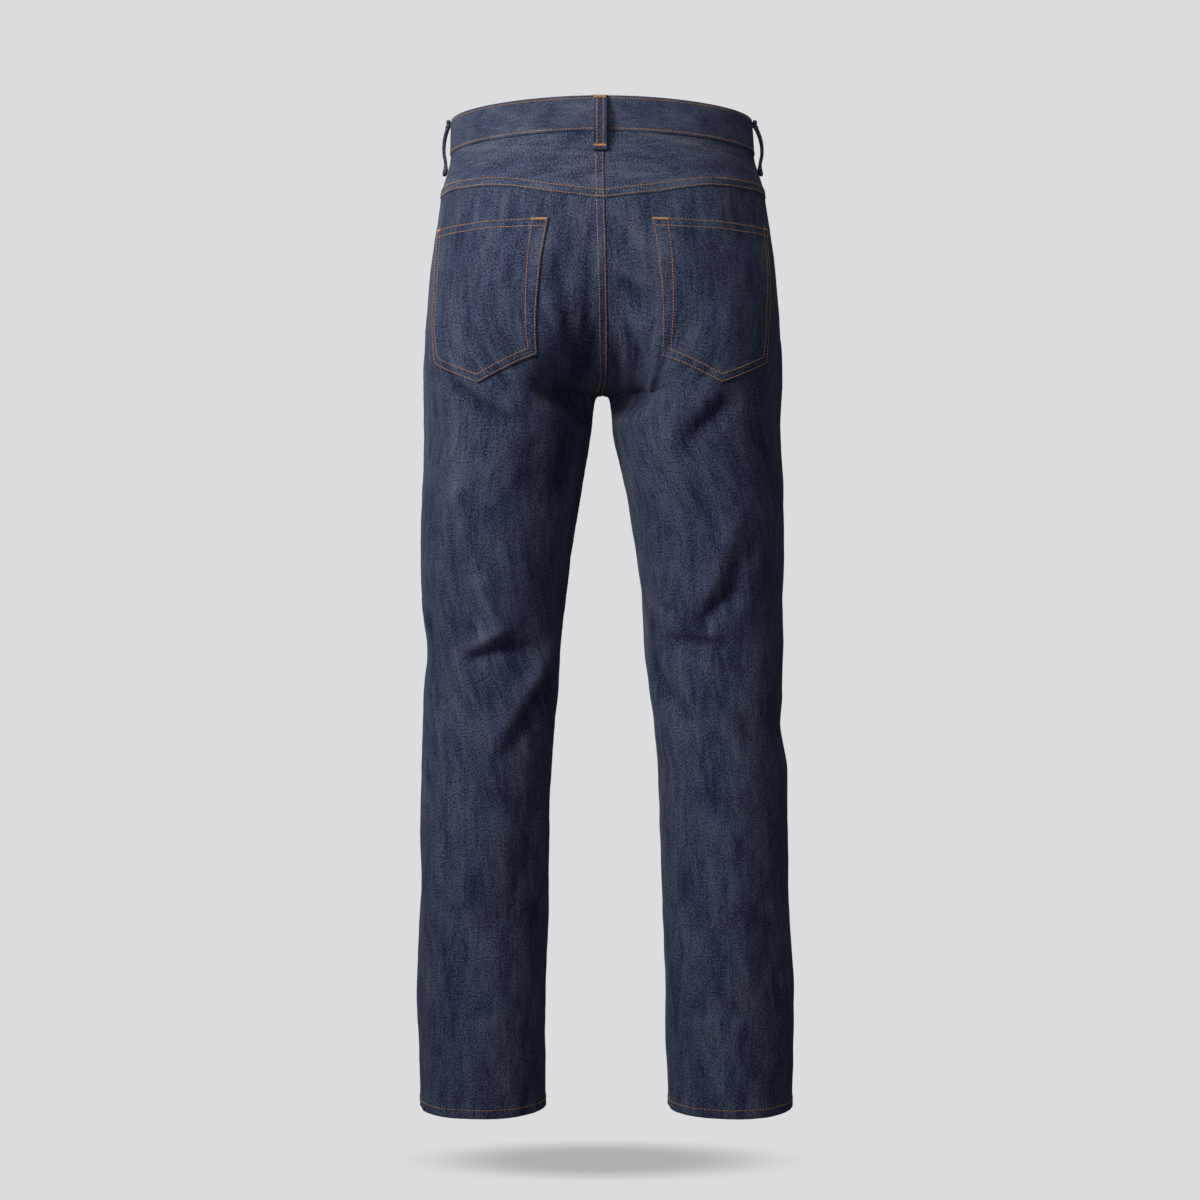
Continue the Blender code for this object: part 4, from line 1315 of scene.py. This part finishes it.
# The belt loops: the name, the side, the turn and the room for a belt.
BELT_LOOPS = (
    ("belt_loop_back", LEFT, 0.494, 0.0066),
    ("belt_loop_side_left", LEFT, 0.010, 0.0048),
    ("belt_loop_side_right", RIGHT, 0.010, 0.0064),
    ("belt_loop_front_left", LEFT, -0.385, 0.0086),
    ("belt_loop_front_right", RIGHT, -0.385, 0.0086),
)
LOOP_WIDTH = 0.0150
LOOP_TOP = 0.0005
LOOP_LENGTH = 0.0580
LOOP_ROW = 0.0042
LOOP_THICK = 0.0033
LOOP_TACKS = np.array([0.035, 0.915])
LOOP_TACK_LONG = 0.0122
LOOP_TACK_WIDE = 0.0024


def loop_line(side, turn, belt_gap, parts):
    """Middle line of a belt loop's inner face, its outward and sideways ways."""
    _, out = FORM.at(side, np.array(turn), np.array(0.5 * BAND))
    out = out * np.array([1.0, 1.0, 0.0])
    out /= np.linalg.norm(out)
    along = np.array([-out[1], out[0], 0.0])
    drops = LOOP_TOP + LOOP_LENGTH * parts
    points, _ = FORM.at(side, np.full(parts.shape, turn), drops)
    seat = BAND_LIFT + 0.0004 - (BAND_LIFT - 0.0008) * ease((drops - BAND) / 0.006)
    bow = np.sin(math.pi * np.clip((parts - 0.09) / 0.80, 0.0, 1.0)) ** 0.8
    return points + out * (seat + belt_gap * bow)[:, None], out, along, drops


def loop_top(aside, down):
    """Outer height of a belt loop: sunk along its two rows, doubled at its ends."""
    rows = bell(np.abs(aside) - 0.5 * LOOP_WIDTH + LOOP_ROW, 0.0009)
    ends = 0.0008 * (1.0 - ease((np.minimum(down, LOOP_LENGTH - down) - 0.0075) / 0.002))
    edges = 0.0003 * bell(np.abs(aside) - 0.5 * LOOP_WIDTH, 0.0022)
    return LOOP_THICK + ends - 0.00035 * rows + edges


class JEANS_OT_belt_loops(bpy.types.Operator):
    """Sew the five belt loops over the waistband"""

    bl_idname = "jeans.belt_loops"
    bl_label = "Belt Loops"

    def execute(self, context):
        parts = finely(LOOP_LENGTH, 44)
        asides = LOOP_WIDTH * (finely(LOOP_WIDTH, 14) - 0.5)[None, :]
        for name, side, turn, belt_gap in BELT_LOOPS:
            middle, out, along, drops = loop_line(side, turn, belt_gap, parts)
            points = middle[:, None, :] + along * asides[..., None]
            normals = np.broadcast_to(out, points.shape)
            across = asides + 0.0 * parts[:, None]
            down = drops[:, None] + 0.0 * asides
            ply = Ply(points, normals, np.zeros(across.shape), across, down)
            ply.top = loop_top(across, LOOP_LENGTH * parts[:, None] + 0.0 * asides)
            ply.under = np.zeros(across.shape)
            ends = np.minimum(parts, 1.0 - parts)[:, None] * LOOP_LENGTH
            ply.near_edge(0.5 * LOOP_WIDTH - np.abs(across), ends)
            sew_ply("denim_" + name, ply, denim("denim_loops", 0.03, 0.8), (name,))
        return {"FINISHED"}


# ------------------------------------------------------------------ stitching
STITCH_FILL = 0.74
STITCH_LIFT = 0.28
TACK_PITCH = 0.00055
TACK_LIFT = 0.00035


class Thread:
    """Stitches gathered for one piece: where each lies, how it lies and its size."""

    def __init__(self, seed):
        self.draw = np.random.default_rng(seed)
        self.spots, self.turns = [], []

    def add(self, spot, along, out, length, thick):
        """Add one stitch: a short, flattened, round-ended length of thread."""
        aside = np.cross(out, along)
        aside /= np.linalg.norm(aside)
        out = np.cross(along, aside)
        self.spots.append(spot)
        self.turns.append((0.5 * length * along, 0.5 * thick * aside, 0.40 * thick * out))

    def run(self, points, normals):
        """Stitches at an even pitch along a line on the cloth."""
        look = bpy.context.scene.jeans_stitching
        length = walk(points)
        count = max(int(length[-1] / look.pitch), 1)
        reach = 0.5 * length[-1] / count
        places = (2.0 * np.arange(count) + 1.0) * reach

        def at(values, place):
            return np.column_stack([np.interp(place, length, values[:, axis]) for axis in range(3)])

        spots, outs = at(points, places), at(normals, places)
        runs = at(points, places + reach) - at(points, places - reach)
        runs /= np.linalg.norm(runs, axis=1, keepdims=True)
        for spot, along, out in zip(spots, runs, outs):
            along = along + np.cross(out, along) * self.draw.normal(0.0, 0.045)
            along /= np.linalg.norm(along)
            long = look.pitch * STITCH_FILL * self.draw.uniform(0.92, 1.06)
            thick = look.thickness * self.draw.uniform(0.9, 1.05)
            self.add(spot + out * (STITCH_LIFT * look.thickness), along, out, long, thick)

    def tack(self, centre, along, out, length, width):
        """A bar tack: close stitches side by side across a short bar."""
        look = bpy.context.scene.jeans_stitching
        along = along / np.linalg.norm(along)
        across = np.cross(out, along)
        for place in np.arange(-0.5 * length, 0.5 * length, TACK_PITCH):
            lift = TACK_LIFT + self.draw.normal(0.0, 0.00005)
            lean = across + along * self.draw.normal(0.06, 0.05)
            lean /= np.linalg.norm(lean)
            self.add(centre + along * place + out * lift, lean, out,
                     width * self.draw.uniform(0.9, 1.08), 0.8 * look.thickness)

    def sew(self, name, finish):
        """Join the stitches into one piece: one round shape, repeated."""
        shape = bmesh.new()
        bmesh.ops.create_uvsphere(shape, u_segments=6, v_segments=5, radius=1.0,
                                  matrix=Matrix.Rotation(0.5 * math.pi, 4, "Y"))
        shape.verts.index_update()
        dots = np.array([tuple(dot.co) for dot in shape.verts])
        faces = [[corner.index for corner in face.verts] for face in shape.faces]
        shape.free()
        spots, turns = np.array(self.spots), np.array(self.turns)
        places = spots[:, None, :] + np.einsum("vk,nkc->nvc", dots, turns)
        sides = [[corner + first for corner in face]
                 for first in range(0, len(spots) * len(dots), len(dots)) for face in faces]
        mesh = bpy.data.meshes.new(name)
        mesh.from_pydata(places.reshape(-1, 3), [], sides)
        place(name, mesh, finish)


def stitch(thread, side, back, shares, drops, top):
    """Sew a row along a panel's outer face, whose heights are a list or a function."""
    if callable(top):
        top = top(side, shares, drops)
    points, normals, _ = lay(side, back, shares, drops)
    thread.run(points + normals * top[..., None], normals)


def seat_rows(thread, side_top, back_panel, first, last):
    """The two rows beside the seat seam or the rise, on the wearer's left panel."""
    for away in (ROW_NEAR, ROW_FAR):
        drops = np.linspace(first, last, 80)
        length = half_length(LEFT, back_panel, drops)
        shares = end_share(LEFT, back_panel, drops) - away / length
        stitch(thread, LEFT, back_panel, shares, drops, side_top)


class JEANS_OT_yoke_and_seat_rows(bpy.types.Operator):
    """Topstitch the yoke seams and the seat seam with two rows each"""

    bl_idname = "jeans.yoke_and_seat_rows"
    bl_label = "Yoke and Seat Stitching"

    def execute(self, context):
        thread = Thread(7)
        for side in (LEFT, RIGHT):
            for away in (ROW_NEAR, ROW_FAR):
                shares = np.linspace(0.008, end_share(side, True, 0.1), 80)
                stitch(thread, side, True, shares, yoke_line(shares) - away, yoke_top)
        low = yoke_line(1.0)
        seat_rows(thread, yoke_top, True, BAND + 0.001, low - 0.0015)
        seat_rows(thread, back_top, True, low + 0.001, FELL_END - 0.006)
        thread.sew("thread_yoke_and_seat", row_thread())
        return {"FINISHED"}


class JEANS_OT_waistband_rows(bpy.types.Operator):
    """Topstitch the waistband along both edges and round its lapped end"""

    bl_idname = "jeans.waistband_rows"
    bl_label = "Waistband Stitching"

    def execute(self, context):
        thread = Thread(11)
        inset = LAP_ROW / (0.5 * WAIST_GIRTH)
        last = LAP_END - 2.2 * LAP_TURN
        around = np.linspace(LAP_START + inset, last, 420)
        lines = [(around, np.full(around.shape, BAND_ROW_TOP)),
                 (around, np.full(around.shape, BAND - BAND_ROW_LOW))]
        down = np.linspace(BAND_ROW_TOP, BAND - BAND_ROW_LOW, 12)
        lines.append((np.full(down.shape, LAP_START + inset), down))
        for route, drops in lines:
            points, normals = band_form(route, drops)
            thread.run(points + normals * band_top(route, drops)[:, None], normals)
        thread.sew("thread_waistband", row_thread())
        return {"FINISHED"}


class JEANS_OT_pocket_rows(bpy.types.Operator):
    """Topstitch the back pockets: two rows round them and two along their mouths"""

    bl_idname = "jeans.pocket_rows"
    bl_label = "Back Pocket Stitching"

    def execute(self, context):
        thread = Thread(13)
        for side in (LEFT, RIGHT):
            corner = {name: pocket_corner(side, name) for name in POCKET_CORNERS}
            ring = [corner[name] for name in
                    ("top_outer", "low_outer", "point", "low_inner", "top_inner")]
            near = inset_line(ring, (ROW_NEAR,) * 5)
            far = inset_line(ring, (ROW_FAR, ROW_FAR, ROW_FAR, *POCKET_INNER_ROW))
            mouth = corner["top_inner"] - corner["top_outer"]
            way = mouth / np.linalg.norm(mouth)
            for line in (near, far):
                self.sew_line(thread, side, np.array(line))
            for away in (ROW_NEAR, ROW_FAR):
                start = corner["top_outer"] + way * ROW_NEAR + np.array([0.0, away])
                end = corner["top_inner"] - way * ROW_NEAR + np.array([0.0, away])
                self.sew_line(thread, side, np.array([start, end]))
        thread.sew("thread_back_pockets", row_thread())
        return {"FINISHED"}

    def sew_line(self, thread, side, corners):
        """Stitch along a line of corners on the pocket's chart."""
        length = walk(corners)
        places = np.linspace(0.0, length[-1], 160)
        across = np.interp(places, length, corners[:, 0])
        drops = np.interp(places, length, corners[:, 1])
        shares = across / half_length(side, True, drops)
        stitch(thread, side, True, shares, drops, pocket_top(side, across, drops))


def inset_line(ring, insets):
    """The corners of a line inside an open ring of corners, from mouth to mouth.

    The insets are the distances from the outer side, the two low edges (the
    second and third), the inner side at its foot and the inner side at its mouth.
    """
    outer, low_outer, low_inner, foot, mouth = insets
    sides = [
        (ring[0], ring[1], outer, outer), (ring[1], ring[2], low_outer, low_outer),
        (ring[2], ring[3], low_inner, low_inner), (ring[3], ring[4], foot, mouth)]
    centre = sum(ring) / len(ring)
    moved = []
    for start, end, first, last in sides:
        run = (end - start) / np.linalg.norm(end - start)
        out = np.array([-run[1], run[0]])
        if out.dot(centre - start) < 0.0:
            out = -out
        moved.append((start + out * first, end + out * last))
    corners = [moved[0][0]]
    for (a, b), (c, d) in zip(moved[:-1], moved[1:]):
        along = np.column_stack([b - a, c - d])
        part = np.linalg.solve(along, c - a)[0]
        corners.append(a + part * (b - a))
    corners.append(moved[-1][1])
    return corners


class JEANS_OT_front_rows(bpy.types.Operator):
    """Topstitch the fly, the rise below it and the front pocket mouths"""

    bl_idname = "jeans.front_rows"
    bl_label = "Front Stitching"

    def execute(self, context):
        thread = Thread(17)
        seat_rows(thread, front_top, False, FLY_END - 0.004, FELL_END - 0.006)
        edge = np.linspace(BAND + 0.001, FLY_END - 0.004, 60)
        length = half_length(LEFT, False, edge)
        shares = end_share(LEFT, False, edge) - ROW_NEAR / length
        stitch(thread, LEFT, False, shares, edge, front_top)
        for inset in (0.0, ROW_FAR - ROW_NEAR):
            wide = FLY_STITCH - inset
            straight = np.linspace(BAND + 0.001, FLY_END - FLY_CURVE, 40)
            swing = np.linspace(0.0, 0.5 * math.pi, 40)[1:]
            drops = np.concatenate([
                straight, FLY_END - FLY_CURVE + (FLY_CURVE - inset) * np.sin(swing)])
            away = np.concatenate([
                np.full(straight.shape, wide), FLY_FOOT + (wide - FLY_FOOT) * np.cos(swing)])
            shares = end_share(LEFT, False, drops) - away / half_length(LEFT, False, drops)
            stitch(thread, LEFT, False, shares, drops, front_top)
        for side in (LEFT, RIGHT):
            for away in (ROW_NEAR, ROW_FAR):
                line = scoop_line(side)
                run = np.gradient(line, axis=0)
                run /= np.linalg.norm(run, axis=1, keepdims=True)
                line = line + away * np.column_stack([run[:, 1], -run[:, 0]])
                shares = line[:, 0] / half_length(side, False, line[:, 1])
                keep = (shares > 0.004) & (line[:, 1] > BAND + 0.0005)
                stitch(thread, side, False, shares[keep], line[keep, 1], front_top)
        thread.sew("thread_front", row_thread())
        return {"FINISHED"}


class JEANS_OT_hem_rows(bpy.types.Operator):
    """Topstitch each hem with one row"""

    bl_idname = "jeans.hem_rows"
    bl_label = "Hem Stitching"

    def execute(self, context):
        thread = Thread(19)
        shares = np.linspace(0.004, 0.996, 120)
        drops = np.full(shares.shape, HEM_DROP - HEM_STITCH)
        for side in (LEFT, RIGHT):
            for back, top in ((True, back_top), (False, front_top)):
                stitch(thread, side, back, shares, drops, top)
        thread.sew("thread_hems", row_thread())
        return {"FINISHED"}


class JEANS_OT_loop_rows(bpy.types.Operator):
    """Topstitch each belt loop with two rows and tack both its ends"""

    bl_idname = "jeans.loop_rows"
    bl_label = "Belt Loop Stitching"

    def execute(self, context):
        rows, tacks = Thread(23), Thread(24)
        parts = np.linspace(0.05, 0.95, 60)
        for _, side, turn, belt_gap in BELT_LOOPS:
            for aside in (LOOP_ROW - 0.5 * LOOP_WIDTH, 0.5 * LOOP_WIDTH - LOOP_ROW):
                middle, out, along, _ = loop_line(side, turn, belt_gap, parts)
                top = loop_top(np.full(parts.shape, aside), LOOP_LENGTH * parts)
                points = middle + along * aside + out * top[:, None]
                rows.run(points, np.broadcast_to(out, points.shape))
            middle, out, along, _ = loop_line(side, turn, belt_gap, LOOP_TACKS)
            top = loop_top(np.zeros(LOOP_TACKS.shape), LOOP_LENGTH * LOOP_TACKS)
            for spot, height in zip(middle, top):
                tacks.tack(spot + out * height, along, out, LOOP_TACK_LONG, LOOP_TACK_WIDE)
        rows.sew("thread_belt_loops", row_thread())
        tacks.sew("thread_loop_tacks", tack_thread())
        return {"FINISHED"}


# Tacks at a back pocket's top corners: how far round from the corner, how long.
POCKET_TACKS = (("top_outer", 0.0052, 0.0082), ("top_inner", -0.0095, 0.0165))
POCKET_TACK_DROP = 0.0014
# Tacks at the two ends of a front pocket mouth: how far along the mouth, how
# far off it in share and in drop, round (0) or down (1), and how long.
SCOOP_TACKS = ((0.93, 0.020, 0.001, 0.0, 0.009), (0.03, 0.022, 0.004, 1.0, 0.008))
SCOOP_TACK_LIFT = 0.0009
FLY_TACK_IN = 0.006
FLY_TACK_SHARE = 0.87
TACK_WIDE = 0.0023


class JEANS_OT_bar_tacks(bpy.types.Operator):
    """Tack the corners of the pockets and the foot of the fly"""

    bl_idname = "jeans.bar_tacks"
    bl_label = "Bar Tacks"

    def execute(self, context):
        thread = Thread(29)
        for side in (LEFT, RIGHT):
            corner = {name: pocket_corner(side, name) for name in POCKET_CORNERS}
            for name, aside, long in POCKET_TACKS:
                spot = corner[name] + np.array([aside, POCKET_TACK_DROP])
                share = spot[0] / half_length(side, True, spot[1])
                height = float(pocket_top(side, spot[0], spot[1]))
                self.place_tack(thread, side, True, share, spot[1], height, 0.0, long)
            for part, aside, below, fall, long in SCOOP_TACKS:
                share, drop = scoop(part)
                self.place_tack(thread, side, False, share + aside, drop + below,
                                SCOOP_TACK_LIFT, fall, long)
        share = 1.0 - FLY_TACK_IN / half_length(LEFT, False, FLY_END)
        self.place_tack(thread, LEFT, False, share, FLY_END + 0.001, 0.0016, 0.2, 0.010)
        self.place_tack(thread, LEFT, False, FLY_TACK_SHARE, FLY_END - 0.032, 0.0002, 0.8, 0.009)
        thread.sew("thread_bar_tacks", tack_thread())
        return {"FINISHED"}

    def place_tack(self, thread, side, back, share, drop, height, fall, long):
        """Put one tack on a panel, running round (fall 0) to down (fall 1)."""
        shares = share + np.array([0.0, 0.01, 0.0])
        drops = drop + np.array([0.0, 0.0, 0.002])
        points, normals, _ = lay(side, back, shares, drops)
        round_it = (points[1] - points[0]) / np.linalg.norm(points[1] - points[0])
        down = (points[2] - points[0]) / np.linalg.norm(points[2] - points[0])
        along = round_it * (1.0 - fall) + down * fall
        centre = points[0] + normals[0] * height
        thread.tack(centre, along, normals[0], long, TACK_WIDE)


# -------------------------------------------------------------- button closure
BUTTON_PROFILE = (
    (0.0, 0.0036), (0.0016, 0.0037), (0.0026, 0.0034), (0.0030, 0.0030), (0.0042, 0.0029),
    (0.0050, 0.0031), (0.0057, 0.0037), (0.0070, 0.0039), (0.0081, 0.0035), (0.0085, 0.0027),
    (0.0083, 0.0019), (0.0072, 0.0013), (0.0034, 0.0011), (0.0030, 0.0004), (0.0, 0.0004),
)
BUTTONHOLE = 0.0165
BUTTONHOLE_LANE = 0.0013


def button_seat():
    """The middle of the lapped waistband's front, and the way out of it."""
    around = np.array([-0.5])
    drops = np.array([0.5 * BAND])
    points, normals = band_form(around, drops)
    return points[0] + normals[0] * float(band_top(around, drops)[0]), normals[0]


class JEANS_OT_waist_button(bpy.types.Operator):
    """Turn the metal waist button"""

    bl_idname = "jeans.waist_button"
    bl_label = "Waist Button"

    def execute(self, context):
        seat, out = button_seat()
        shape = bmesh.new()
        line = [shape.verts.new((radius, 0.0, height)) for radius, height in BUTTON_PROFILE]
        edges = [shape.edges.new(pair) for pair in zip(line[:-1], line[1:])]
        bmesh.ops.spin(shape, geom=line + edges, cent=(0.0, 0.0, 0.0), axis=(0.0, 0.0, 1.0),
                       angle=2.0 * math.pi, steps=64, use_merge=True)
        bmesh.ops.remove_doubles(shape, verts=shape.verts[:], dist=0.00001)
        bmesh.ops.recalc_face_normals(shape, faces=shape.faces[:])
        turn = Vector(out).to_track_quat("Z", "Y").to_matrix().to_4x4()
        bmesh.ops.transform(shape, matrix=Matrix.Translation(Vector(seat)) @ turn,
                            verts=shape.verts[:])
        mesh = bpy.data.meshes.new("metal_waist_button")
        shape.to_mesh(mesh)
        shape.free()
        button = place("metal_waist_button", mesh, aged_metal("button_metal"))
        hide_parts("waist_button")
        return {"FINISHED"}


class JEANS_OT_buttonhole(bpy.types.Operator):
    """Stitch round the waistband's buttonhole"""

    bl_idname = "jeans.buttonhole"
    bl_label = "Buttonhole"

    def execute(self, context):
        thread = Thread(31)
        seat, out = button_seat()
        level = np.cross((0.0, 0.0, 1.0), out)
        level /= np.linalg.norm(level)
        for lane in (-BUTTONHOLE_LANE, BUTTONHOLE_LANE):
            centre = seat + level * 0.5 * BUTTONHOLE + np.cross(out, level) * lane
            centre = centre - out * 0.0003
            thread.tack(centre, level, out, BUTTONHOLE, 0.0021)
        end = seat + level * (BUTTONHOLE + 0.0008) - out * 0.0004
        thread.tack(end, np.cross(out, level), out, 0.0050, 0.0018)
        thread.sew("thread_buttonhole", tack_thread())
        return {"FINISHED"}


# ---------------------------------------------------------------------- stage
FLOOR_SIZE = 9.0
# The shadow painted on the floor under the hems: its half sizes, where it is darkest and where it
# fades out, and how dark it is.
PAINTED_SHADOW_REACH = (0.225, 0.095)
PAINTED_SHADOW_FULL, PAINTED_SHADOW_END = 0.35, 1.05
PAINTED_SHADOW_DEPTH = 0.40
# Where each light stands and faces, its size, its power as a part of the key's,
# its spread in degrees, and whether it lights the jeans alone.
LIGHTS = {
    "key": ((1.40, 1.42, 0.55), (0.0, 0.0, 0.05), 0.8, 1.0, 110.0, True),
    "fill": ((0.35, 2.1, -0.35), (0.0, 0.0, -0.35), 1.2, 0.086, 75.0, True),
    "overhead": ((0.1, 0.35, 1.5), (0.0, 0.0, -0.5), 1.1, 0.643, 180.0, False),
    "front": ((0.9, -2.2, 0.7), (0.0, 0.0, -0.5), 1.2, 2.0, 180.0, False),
}
DIM_COLOUR = (0.75, 0.82, 1.0, 1.0)
DIM_STRENGTH = 0.10


def backdrop_floor(colour):
    """A pale floor that glows as evenly as the backdrop, with a soft shadow painted on it under the
    hems.
    """
    made, graph = new_graph("floor")
    spot = graph.add("ShaderNodeTexCoord").outputs["Object"]
    flat = graph.scaled(spot, (1.0 / PAINTED_SHADOW_REACH[0], 1.0 / PAINTED_SHADOW_REACH[1], 0.0))
    away = graph.add("ShaderNodeVectorMath", {0: flat}, operation="LENGTH").outputs["Value"]
    # Painted shadow: the floor's glow darkened in a soft ellipse under the jeans.
    shade = graph.add("ShaderNodeMapRange", {
        "Value": away, "From Min": PAINTED_SHADOW_FULL, "From Max": PAINTED_SHADOW_END,
        "To Min": PAINTED_SHADOW_DEPTH, "To Max": 0.0},
        interpolation_type="SMOOTHSTEP").outputs["Result"]
    tint = graph.mix(shade, (*colour, 1.0), (0.0, 0.0, 0.0, 1.0))
    glow = graph.add("ShaderNodeEmission", {"Color": tint, "Strength": 1.0})
    graph.finish(glow.outputs[0])
    return made


def soft_light(name, spot, aim, size, power, spread):
    """A square soft light that faces a point."""
    lamp = bpy.data.lights.new(name, "AREA")
    lamp.shape = "SQUARE"
    lamp.size = size
    lamp.energy = power
    lamp.spread = math.radians(spread)
    light = bpy.data.objects.new(name, lamp)
    light.location = spot
    way = Vector(aim) - Vector(spot)
    light.rotation_euler = way.to_track_quat("-Z", "Y").to_euler()
    bpy.context.scene.collection.objects.link(light)
    return light


class JEANS_OT_stage(bpy.types.Operator):
    """Set out the floor, the backdrop, the soft lights and the camera"""

    bl_idname = "jeans.stage"
    bl_label = "Stage"

    def execute(self, context):
        look = context.scene.jeans_stage
        shape = bmesh.new()
        bmesh.ops.create_grid(shape, x_segments=1, y_segments=1, size=0.5 * FLOOR_SIZE)
        bmesh.ops.translate(shape, vec=(0.0, 0.0, look.floor), verts=shape.verts[:])
        mesh = bpy.data.meshes.new("floor")
        shape.to_mesh(mesh)
        shape.free()
        mesh.materials.append(backdrop_floor(look.backdrop))
        floor = bpy.data.objects.new("floor", mesh)
        floor.visible_diffuse = False
        floor.visible_glossy = False
        context.scene.collection.objects.link(floor)
        self.light_backdrop(context, look.backdrop)

        jeans_only = bpy.data.collections.new("lit_by_key_and_fill")
        for thing in context.scene.objects:
            if thing.type == "MESH" and thing != floor:
                jeans_only.objects.link(thing)
        for name, (spot, aim, size, part, spread, alone) in LIGHTS.items():
            light = soft_light(name, spot, aim, size, part * look.key, spread)
            if alone:
                light.light_linking.receiver_collection = jeans_only

        lens = bpy.data.cameras.new("camera")
        lens.lens = look.lens
        lens.sensor_width = 36.0
        camera = bpy.data.objects.new("camera", lens)
        camera.location = look.eye
        camera.rotation_euler = (0.5 * math.pi, 0.0, math.pi)
        context.scene.collection.objects.link(camera)
        context.scene.camera = camera
        context.scene.view_settings.view_transform = "Standard"
        return {"FINISHED"}

    def light_backdrop(self, context, colour):
        """A dim even light on the cloth before a pale backdrop."""
        world = bpy.data.worlds.new("backdrop")
        world.use_nodes = True
        graph = Graph(world.node_tree)
        dim = graph.add("ShaderNodeBackground", {
            "Color": DIM_COLOUR, "Strength": DIM_STRENGTH})
        pale = graph.add("ShaderNodeBackground", {"Color": (*colour, 1.0), "Strength": 1.0})
        seen = graph.add("ShaderNodeLightPath").outputs["Is Camera Ray"]
        both = graph.add("ShaderNodeMixShader", {0: seen, 1: dim.outputs[0], 2: pale.outputs[0]})
        out = graph.add("ShaderNodeOutputWorld")
        graph.tree.links.new(both.outputs[0], out.inputs["Surface"])
        context.scene.world = world


# --------------------------------------------------------------- the add-on
SETTINGS = {
    "jeans_cut": JeansCutSettings,
    "jeans_stitching": JeansStitchSettings,
    "jeans_denim": JeansDenimSettings,
    "jeans_stage": JeansStageSettings,
}
STEPS = (
    JEANS_OT_back_legs,
    JEANS_OT_front_legs,
    JEANS_OT_yokes,
    JEANS_OT_waistband,
    JEANS_OT_back_pockets,
    JEANS_OT_front_pocket_facings,
    JEANS_OT_fly_shield,
    JEANS_OT_belt_loops,
    JEANS_OT_yoke_and_seat_rows,
    JEANS_OT_waistband_rows,
    JEANS_OT_pocket_rows,
    JEANS_OT_front_rows,
    JEANS_OT_hem_rows,
    JEANS_OT_loop_rows,
    JEANS_OT_bar_tacks,
    JEANS_OT_waist_button,
    JEANS_OT_buttonhole,
    JEANS_OT_stage,
)


class JEANS_PT_sewing(bpy.types.Panel):
    """Lists the settings and the pieces in the order they are sewn"""

    bl_idname = "JEANS_PT_sewing"
    bl_label = "Straight Leg Jeans"
    bl_space_type = "VIEW_3D"
    bl_region_type = "UI"
    bl_category = "Jeans"

    def draw(self, context):
        for word in SETTINGS:
            box = self.layout.box()
            group = getattr(context.scene, word)
            for setting in group.bl_rna.properties:
                if setting.identifier not in ("rna_type", "name"):
                    box.prop(group, setting.identifier)
        column = self.layout.column(align=True)
        for step in STEPS:
            column.operator(step.bl_idname)


CLASSES = (*SETTINGS.values(), *STEPS, JEANS_PT_sewing)


def register():
    for made in CLASSES:
        bpy.utils.register_class(made)
    for word, group in SETTINGS.items():
        setattr(bpy.types.Scene, word, bpy.props.PointerProperty(type=group))


def unregister():
    for word in SETTINGS:
        delattr(bpy.types.Scene, word)
    for made in reversed(CLASSES):
        bpy.utils.unregister_class(made)


def main():
    """Sew every piece in order."""
    register()
    for step in STEPS:
        area, word = step.bl_idname.split(".")
        getattr(getattr(bpy.ops, area), word)()


if __name__ == "__main__":
    main()
